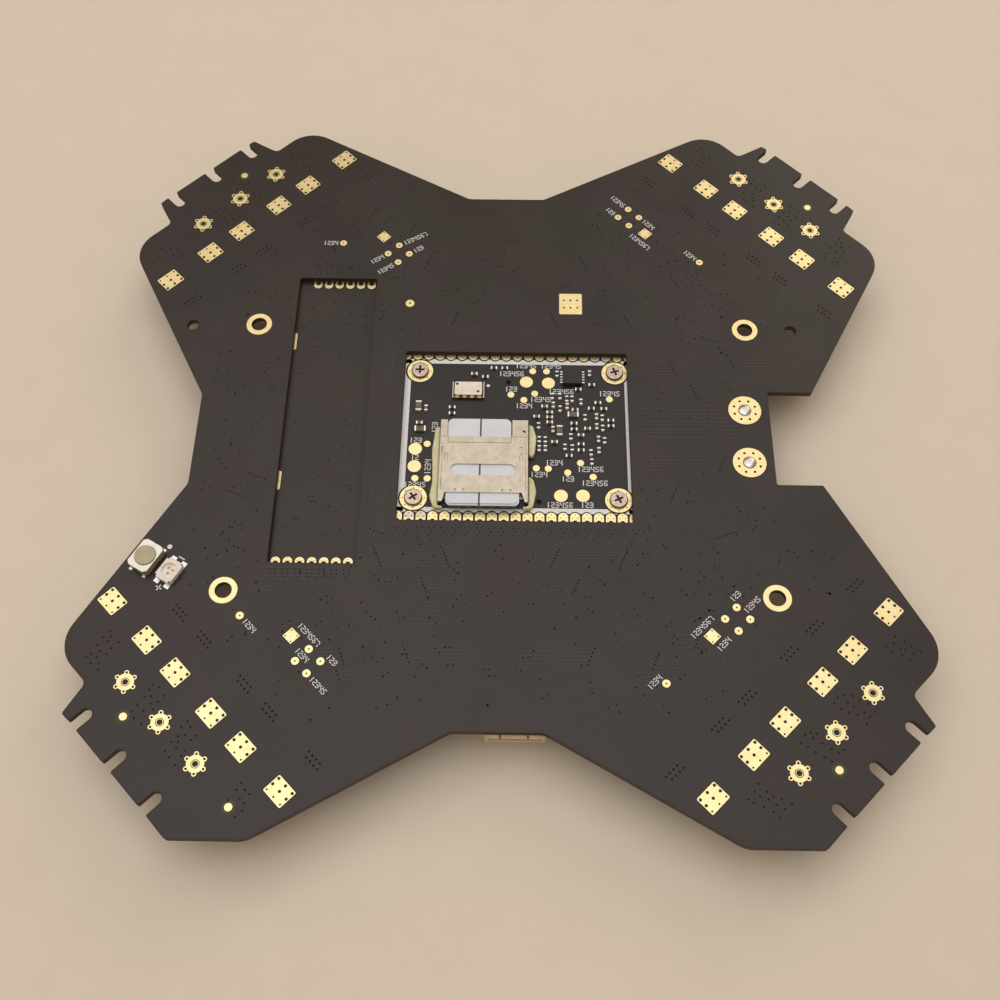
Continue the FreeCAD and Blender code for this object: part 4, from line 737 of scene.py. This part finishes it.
def pad_halos():
    """Dark margins where the lacquer stops short of each land."""
    shapes = []
    for centre, half in islands("thermal_pads"):
        turn = math.degrees(math.atan2(math.copysign(1, centre.y), math.copysign(1, centre.x)))
        shapes.append(turned_box(centre.x, centre.y, 1.45 + 0.11, 1.725 + 0.11, turn))
    for centre, half in islands("round_test_pads"):
        shapes.append(circle(centre.x, centre.y, half.x + 0.1))
    for centre, half in islands("square_test_pads"):
        shapes.append(turned_box(centre.x, centre.y, 0.98, 0.98, 45))
    for centre, half in islands("motor_wire_pads"):
        shapes.append(circle(centre.x, centre.y, 1.33))
        for i in range(6):
            angle = math.radians(90 + 60 * i)
            shapes.append(circle(centre.x + 1.37 * math.cos(angle), centre.y + 1.37 * math.sin(angle), 0.42, 14))
    for centre, half in islands("power_pads"):
        shapes += band(centre.x, centre.y, half.x, half.x + 0.12, 40)
    flat_piece("pad_halos", shapes, TOP + SKIN * 2, HALO)
    rings = []
    for centre, half in islands("mounting_hole_lands"):
        if centre.z > TOP:
            rings += band(centre.x, centre.y, half.x, half.x + 0.13, 40)
    for centre, half in islands("fiducial_dots"):
        rings += band(centre.x, centre.y, half.x, half.x + 0.42, 28)
    for centre, half in islands("sense_pads"):
        if half.x < 1.5:
            rings += band(centre.x, centre.y, half.x, half.x + 0.2, 28)
        else:
            rings.append(bar(centre.x - half.x - 0.12, centre.y - half.y - 0.12,
                             centre.x + half.x + 0.12, centre.y + half.y + 0.12))
    return flat_piece("mask_clearances", rings, TOP + SKIN * 2.4, OLIVE_HALO)


def land_holes():
    """Tiny drilled holes in the lands, drawn as dark spots on the gold."""
    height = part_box("round_test_pads")[1].z / MM + SKIN
    shapes = [circle(centre.x, centre.y, 0.13, 12) for centre, half in islands("round_test_pads")]
    for centre, half in islands("square_test_pads"):
        for dx, dy in ((0.85, 0), (0, 0.85), (-0.85, 0), (0, -0.85)):
            shapes.append(circle(centre.x + dx, centre.y + dy, 0.12, 12))
    for centre, half in islands("power_pads"):
        for i in range(8):
            angle = math.radians(22.5 + 45 * i)
            shapes.append(circle(centre.x + 1.75 * math.cos(angle), centre.y + 1.75 * math.sin(angle), 0.2, 14))
    for centre, half in islands("motor_wire_pads"):
        shapes += band(centre.x, centre.y, WIRE_BORE + 0.1, WIRE_BORE + 0.2, 28)
    for centre, half in islands("sense_pads"):
        if half.x > 1.5:
            for dx in (-1.1, 0.0, 1.1):
                for dy in (-0.75, 0.75):
                    shapes.append(circle(centre.x + dx, centre.y + dy, 0.17, 12))
        else:
            shapes.append(circle(centre.x, centre.y, 0.16, 12))
    return flat_piece("land_holes", shapes, height, HOLE)


# ------------------------------------------------------------ core module surface

def stadium(x, y, half_width, inner, outer, direction):
    """Land with one round end; direction is +1 when the round end points to +Y."""
    points = [(x - half_width * direction, y - outer * direction), (x + half_width * direction, y - outer * direction)]
    centre = y + (inner - half_width) * direction
    for i in range(13):
        angle = math.pi * i / 12
        points.append((x + half_width * math.cos(angle) * direction, centre + half_width * math.sin(angle) * direction))
    return points


def module_surface():
    """Printed frame, land margins and drilled spots of the core module."""
    low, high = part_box("core_module_edge_pads")
    window_left, window_right = low.x / MM + 0.67, high.x / MM - 1.07
    tips = (low.y / MM + 2.57, high.y / MM - 2.57)
    frame_bars = [
        bar(window_left - 0.4, tips[0] + 0.02, window_left + 0.95, tips[1] - 0.02),
        bar(window_right - 0.45, tips[0] + 0.02, window_right + 0.4, tips[1] - 0.02),
        bar(window_left - 0.4, tips[0] - 0.12, window_right + 0.4, tips[0] + 0.72),
        bar(window_left - 0.4, tips[1] - 0.72, window_right + 0.4, tips[1] + 0.12),
    ]
    flat_piece("module_frame_print", frame_bars, MODULE_TOP + SKIN, WHITE)
    margins = []
    spots = []
    for centre, half in islands("core_module_edge_pads"):
        direction = 1 if centre.y < 0 else -1
        hole = centre.y - 0.335 * direction
        margins.append(stadium(centre.x, hole, 0.885, 1.84, 0.95, direction))
        for dx, dy in ((0, 1.28), (-0.42, 0.78), (0.42, 0.78)):
            spots.append(circle(centre.x + dx, hole + dy * direction, 0.09, 10))
    for centre, half in islands("core_module_corner_pads"):
        margins.append(circle(centre.x, centre.y, half.x + 0.26, 40))
        for i in range(8):
            angle = math.radians(45 * i)
            spots.append(circle(centre.x + 1.68 * math.cos(angle), centre.y + 1.68 * math.sin(angle), 0.1, 10))
    for centre, half in islands("core_module_test_pads"):
        margins.append(circle(centre.x, centre.y, half.x + 0.1, 28))
    flat_piece("module_margins", margins, MODULE_TOP + SKIN * 2, HALO)
    land_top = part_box("core_module_edge_pads")[1].z / MM + SKIN
    flat_piece("module_land_spots", spots, land_top, HOLE)
    side_margins = []
    side_spots = []
    for centre, half in islands("side_module_edge_pads"):
        direction = 1 if centre.y < 0 else -1
        hole = centre.y + 0.05 * direction
        side_margins.append(stadium(centre.x, hole, 0.78, 1.1, 1.1, direction))
        for dx, dy in ((0, 0.75), (-0.36, 0.45), (0.36, 0.45)):
            side_spots.append(circle(centre.x + dx, hole + dy * direction, 0.08, 10))
    flat_piece("side_module_margins", side_margins, MODULE_TOP + SKIN * 2, HALO)
    flat_piece("side_module_spots", side_spots, land_top, HOLE)


def sensor_lands():
    """Gold lands along two edges of the pressure sensor's base, and its pale rim."""
    low, high = (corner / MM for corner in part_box("pressure_sensor_base"))
    height = high.z + SKIN
    shapes = []
    for i in range(4):
        x = low.x + 0.75 + i * (high.x - low.x - 1.5) / 3
        shapes.append(bar(x - 0.3, low.y + 0.04, x + 0.3, low.y + 0.26))
        shapes.append(bar(x - 0.3, high.y - 0.26, x + 0.3, high.y - 0.04))
    flat_piece("sensor_lands", shapes, height, GOLD)
    rims = [
        bar(low.x, low.y, low.x + 0.12, high.y), bar(high.x - 0.12, low.y, high.x, high.y),
    ]
    return flat_piece("sensor_rim", rims, height, WHITE)


def lid_step_shade_lines():
    """Painted shade along the fine pressed lines in the socket lid, beside its card opening and along its folded sides:
    dark strips that stand for the shading of the pressed steps.
    """
    low, high = (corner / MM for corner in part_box("card_lid"))
    card_low, card_high = (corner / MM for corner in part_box("memory_card"))
    left, right = low.x, high.x
    tab_left, tab_right = card_low.x + 0.13, card_high.x - 1.33
    opening = high.y - 3.05
    fold = opening - 1.04
    # dark strips along the pressed steps and the two arrow marks: painted shade, not a darker metal
    shapes = [
        stroke((tab_left, fold), (tab_right, fold), 0.1),
        stroke((tab_left - 0.04, opening), (tab_left - 0.04, fold + 0.04), 0.08),
        stroke((tab_right + 0.04, opening), (tab_right + 0.04, fold + 0.04), 0.08),
        stroke((left + 0.1, opening), (tab_left - 0.3, opening), 0.09),
        stroke((tab_right + 0.31, opening), (right - 0.1, opening), 0.09),
    ]
    for x in (left + 0.34, right - 0.34):
        shapes.append(stroke((x, fold - 0.06), (x, low.y + 1.95), 0.07))
    arrow = fold - 2.26
    for x, side in ((left + 0.75, 1), (right - 0.75, -1)):
        outer, inner, middle = x, x + side * 0.5, x + side * 0.25
        shapes.append(stroke((outer, arrow), (outer, arrow - 0.9), 0.08))
        shapes.append(stroke((inner, arrow), (inner, arrow - 0.9), 0.08))
        shapes.append(stroke((outer, arrow), (middle, arrow + 0.4), 0.08))
        shapes.append(stroke((inner, arrow), (middle, arrow + 0.4), 0.08))
    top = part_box("card_lid")[1].z / MM
    return flat_piece("lid_step_shade_lines", shapes, top - 0.01, LID_STEP_SHADE, body="card_lid", thick=0.014)


def silvered_lands():
    """A few edge lands that took solder instead of staying gold."""
    lands = islands("core_module_edge_pads")
    front = [centre for centre, half in lands if centre.y < 0]
    rear = [centre for centre, half in lands if centre.y > 0]
    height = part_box("core_module_edge_pads")[1].z / MM + SKIN * 0.6
    shapes = []
    for centre, direction in ((front[1], 1), (front[2], 1), (rear[-4], -1), (rear[-3], -1)):
        middle = centre.y - 0.335 * direction
        outer = stadium(centre.x, middle, 0.72, 1.58, -0.5, direction)
        shapes.append(outer)
    return flat_piece("silvered_lands", shapes, height, SILVERED)


def soften(node, width, parts=2):
    """Rounds a node's sharp edges at render time."""
    piece = NODES[node]
    weld = piece.modifiers.new("join", "WELD")
    weld.merge_threshold = 0.0008 * MM
    bevel = piece.modifiers.new("round", "BEVEL")
    bevel.width = width * MM
    bevel.segments = parts
    bevel.limit_method = "ANGLE"
    bevel.angle_limit = math.radians(40)
    bevel.harden_normals = False


def soften_nodes():
    """Edge rounding by node, in millimetres."""
    rounds = {
        "card_lid": 0.03, "switch_button": 0.22, "switch_cover": 0.1, "power_inductors": 0.25, "bulk_capacitor_cans": 0.35,
        "front_connector_housing": 0.08, "power_transistors": 0.08, "gate_drivers": 0.05,
        "motor_controllers": 0.05, "processor": 0.06, "transceiver_body": 0.05,
        "pressure_sensor_lid": 0.08, "memory_card": 0.06, "regulator_chips": 0.08,
        "status_light_body": 0.06, "bulk_capacitor_bases": 0.1, "crystal": 0.06,
    }
    for node, width in rounds.items():
        soften(node, width)


SEGMENTS = {
    "0": "abcdef", "1": "m", "2": "abged", "3": "abgcd", "4": "fgbc",
    "5": "afgcd", "6": "afgedc", "7": "abc", "8": "abcdefg", "9": "gfabcd",
}
SEGMENT_ENDS = {
    "a": ((0, 1), (1, 1)), "b": ((1, 1), (1, 0.5)), "c": ((1, 0.5), (1, 0)), "d": ((0, 0), (1, 0)),
    "e": ((0, 0.5), (0, 0)), "f": ((0, 1), (0, 0.5)), "g": ((0, 0.5), (1, 0.5)),
    "m": ((0.5, 1), (0.5, 0)),
}


def number_print(digits, x, y, turn=0.0, tall=0.95):
    """A printed number centred on a place, as strokes."""
    wide = tall * 0.52
    pitch = tall * 0.85
    shapes = []
    spin = Matrix.Rotation(math.radians(turn), 2)
    for i, digit in enumerate(digits):
        left = (i - (len(digits) - 1) / 2) * pitch - wide / 2
        for name in SEGMENTS[digit]:
            ends = []
            for u, v in SEGMENT_ENDS[name]:
                point = spin @ Vector((left + u * wide, (v - 0.5) * tall))
                ends.append((x + point.x, y + point.y))
            shapes.append(stroke(ends[0], ends[1], tall * 0.17))
    return shapes


# Labels of the test lands, in the order of the lands: which land, how many digits, which side of
# the land, how far it slides along its own line, and its turn. Squares follow the round lands.
BOARD_LABELS = [
    (0, 4, "after", 0.0, -45), (1, 4, "over", 0.0, -45), (3, 5, "after", 0.0, -45),
    (5, 3, "over", 1.0, -45), (20, 7, "over", 1.6, -45),
    (2, 4, "before", 0.0, 0), (6, 4, "before", 0.0, 35), (7, 5, "before", 0.0, 35),
    (8, 7, "after", 0.0, 30), (9, 3, "after", 0.0, 35),
    (10, 3, "before", 0.0, -45), (12, 5, "before", 0.0, -45), (13, 4, "after", 0.0, -45),
    (16, 4, "before", 0.0, -45), (22, 7, "under", 0.5, -45),
    (14, 4, "over", -1.0, 45), (18, 3, "over", 1.2, 45), (19, 5, "over", 1.9, 45),
    (23, 7, "over", 0.0, 45), (23, 4, "under", 0.3, 45),
]
MODULE_LABELS = [
    (0, 2, "over", 0.0, 0), (1, 3, "over", 0.0, 0), (2, 5, "under", 0.0, 0), (3, 3, "under", 3.0, 90),
    (4, 4, "after", 0.0, 90), (5, 3, "over", 0.0, 0), (6, 4, "under", 0.0, 0), (7, 6, "over", -2.4, 0),
    (8, 5, "over", -1.1, 0), (9, 5, "under", 0.9, 0), (10, 4, "under", 0.4, 0), (11, 5, "over", 0.7, 0),
    (12, 4, "over", 0.9, 0), (13, 6, "under", 2.0, 0), (14, 6, "under", -0.2, 0), (15, 3, "under", 0.0, 0),
    (16, 6, "under", 1.5, 0), (17, 3, "under", 0.6, 0), (18, 6, "under", 0.2, 0), (19, 5, "over", 0.0, 0),
]
COUNTING = "1234567"


def land_labels(lands, labels, tall, gap):
    """Counting digits beside their lands, as strokes."""
    shapes = []
    for land, count, side, slide, turn in labels:
        centre, half = lands[land]
        step_along = {"before": -1, "after": 1}.get(side, 0)
        step_across = {"under": -1, "over": 1}.get(side, 0)
        reach_along = half.x + gap + count * tall * 0.425
        reach_across = half.x + gap + tall / 2
        offset = Vector((step_along * reach_along + slide, step_across * reach_across))
        offset = Matrix.Rotation(math.radians(turn), 2) @ offset
        shapes += number_print(COUNTING[:count], centre.x + offset.x, centre.y + offset.y, turn, tall)
    return shapes


def polarity_marks():
    """A dot by the switch, and a minus and a plus at the ends of the status light."""
    spin = Matrix.Rotation(math.radians(SMALL_PARTS_TURN), 2)
    light = islands("status_light_body")[0][0].xy
    switch = islands("switch_cover")[0][0].xy
    along = spin @ Vector((1, 0))
    across = spin @ Vector((0, 1))
    dot = switch + along * 1.46 + across * 3.27
    rear = light + across * 2.65
    front = light - across * 2.75
    shapes = [circle(dot.x, dot.y, 0.37, 20)]
    for centre, line, reach in ((rear, along, 0.45), (front, along, 0.42), (front, across, 0.42)):
        shapes.append(stroke(centre - line * reach, centre + line * reach, 0.16))
    return shapes


def printed_numbers():
    """Plain counting digits beside the test lands, on the main board and on the core module."""
    lands = islands("round_test_pads") + islands("square_test_pads")
    shapes = land_labels(lands, BOARD_LABELS, 0.74, 0.3) + polarity_marks()
    flat_piece("board_numbers", shapes, TOP + 0.025, WHITE)
    shapes = land_labels(islands("core_module_test_pads"), MODULE_LABELS, 0.8, 0.12)
    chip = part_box("transceiver_body")[0] / MM
    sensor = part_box("pressure_sensor_base")[1] / MM
    shapes.append(circle(chip.x - 0.15, chip.y + 2.2, 0.19, 16))
    shapes.append(circle(sensor.x + 0.6, sensor.y - 0.4, 0.27, 16))
    return flat_piece("module_numbers", shapes, MODULE_TOP + SKIN * 3, WHITE)


def solder_fillets():
    """Bright solder that rises round each end of every chip on the core module."""
    made = bmesh.new()
    chance = random.Random(3)
    for centre, half in islands("chip_end_caps"):
        size = (half.x + 0.14, half.y + 0.1) if half.x < half.y else (half.x + 0.1, half.y + 0.14)
        turn = Matrix.Translation((centre.x * MM, centre.y * MM, MODULE_TOP * MM))
        scale = Matrix.Diagonal((size[0] * MM, size[1] * MM, half.z * chance.uniform(1.1, 1.5) * MM, 1))
        bmesh.ops.create_uvsphere(made, u_segments=14, v_segments=8, radius=1.0, matrix=turn @ scale)
    low = [v for v in made.verts if v.co.z < MODULE_TOP * MM]
    for vertex in low:
        vertex.co.z = MODULE_TOP * MM
    for face in made.faces:
        face.smooth = True
    mesh = bpy.data.meshes.new("solder_fillets")
    made.to_mesh(mesh)
    made.free()
    return object_from("solder_fillets", mesh, SOLDER)


def glue_replacement():
    """Rounded glossy beads that stand for the flat CAD ones."""
    source = NODES["glue_beads"].data
    made = bmesh.new()
    made.from_mesh(source)
    bmesh.ops.remove_doubles(made, verts=made.verts[:], dist=0.001 * MM)
    bmesh.ops.dissolve_limit(made, angle_limit=0.02, verts=made.verts[:], edges=made.edges[:])
    mesh = bpy.data.meshes.new("glue_drops")
    made.to_mesh(mesh)
    made.free()
    drop = object_from("glue_drops", mesh, GLUE)
    remesh = drop.modifiers.new("even", "REMESH")
    remesh.mode = "VOXEL"
    remesh.voxel_size = 0.12 * MM
    smooth = drop.modifiers.new("soften", "SMOOTH")
    smooth.factor = 0.8
    smooth.iterations = 14
    for polygon in mesh.polygons:
        polygon.use_smooth = True
    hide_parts("glue_beads")
    return drop


# ------------------------------------------------------------ floor, light and camera

def studio():
    """Pale floor, soft light and the camera."""
    size = 1.2
    floor_z = cad_low.z - 0.00005
    mesh = bpy.data.meshes.new("floor")
    mesh.from_pydata([(-size, -size, floor_z), (size, -size, floor_z), (size, size, floor_z), (-size, size, floor_z)],
                     [], [(0, 1, 2, 3)])
    floor = bpy.data.objects.new("floor", mesh)
    bpy.context.collection.objects.link(floor)
    s = Shader("floor_paper")
    s.set(Base_Color=s.mix(s.span(s.noise(6, 3), 0.3, 0.7), (0.80, 0.72, 0.60), (0.78, 0.70, 0.58)), Roughness=0.7)
    sides = s.node("ShaderNodeMixShader")
    from_below = s.node("ShaderNodeNewGeometry").outputs["Backfacing"]
    to_lamps = s.node("ShaderNodeLightPath").outputs["Is Shadow Ray"]
    s.link(s.math("MAXIMUM", from_below, to_lamps), sides.inputs[0])
    s.link(s.surface.outputs[0], sides.inputs[1])
    s.link(s.node("ShaderNodeBsdfTransparent").outputs[0], sides.inputs[2])
    s.link(sides.outputs[0], s.tree.nodes["Material Output"].inputs["Surface"])
    mesh.materials.append(s.material)

    world = bpy.data.worlds.new("sky")
    bpy.context.scene.world = world
    world.use_nodes = True
    tree = world.node_tree
    place = tree.nodes.new("ShaderNodeTexCoord")
    split = tree.nodes.new("ShaderNodeSeparateXYZ")
    ramp = tree.nodes.new("ShaderNodeValToRGB")
    tree.links.new(place.outputs["Generated"], split.inputs[0])
    tree.links.new(split.outputs["Z"], ramp.inputs[0])
    stops = ramp.color_ramp.elements
    stops[0].position = 0.0
    stops[0].color = (0.42, 0.30, 0.20, 1)
    stops[1].position = 1.0
    stops[1].color = (1.0, 1.0, 1.0, 1)
    middle = stops.new(0.72)
    middle.color = (0.66, 0.50, 0.36, 1)
    tree.links.new(ramp.outputs[0], tree.nodes["Background"].inputs[0])
    tree.nodes["Background"].inputs[1].default_value = 0.62

    def lamp(name, place, size, power, colour):
        data = bpy.data.lights.new(name, "AREA")
        data.shape = "DISK"
        data.size = size
        data.energy = power
        data.color = colour
        made = bpy.data.objects.new(name, data)
        made.location = place
        aim = Vector((0, 0, 0)) - Vector(place)
        made.rotation_euler = aim.to_track_quat("-Z", "Y").to_euler()
        bpy.context.collection.objects.link(made)

    lamp("overhead_softbox", (-0.10, 0.04, 0.62), 0.9, 1.9, (1.0, 0.98, 0.95))
    lamp("rear_fill", (0.35, 0.55, 0.40), 0.4, 0.8, (1.0, 0.93, 0.82))

    lamp("underside_softbox", (0.0, 0.0, -0.55), 0.7, 1.6, (1.0, 0.96, 0.90))

    camera_data = bpy.data.cameras.new("camera")
    camera_data.sensor_width = 36.0
    camera_data.lens = 41.56
    camera_data.clip_start = 0.01
    camera = bpy.data.objects.new("camera", camera_data)
    camera.location = (1.45 * MM, -90.48 * MM, 153.74 * MM)
    camera.rotation_euler = tuple(math.radians(a) for a in (27.178, 0.132, 0.924))
    bpy.context.collection.objects.link(camera)
    bpy.context.scene.camera = camera
    bpy.context.scene.view_settings.view_transform = "Standard"


paint_nodes()
soften_nodes()
edge_rim()
edge_rim(-1)
board_traces()
underside_surface()
tented_vias()
side_module_vias()
pad_halos()
land_holes()
module_surface()
sensor_lands()
silvered_lands()
lid_step_shade_lines()
printed_numbers()
solder_fillets()
glue_replacement()
studio()
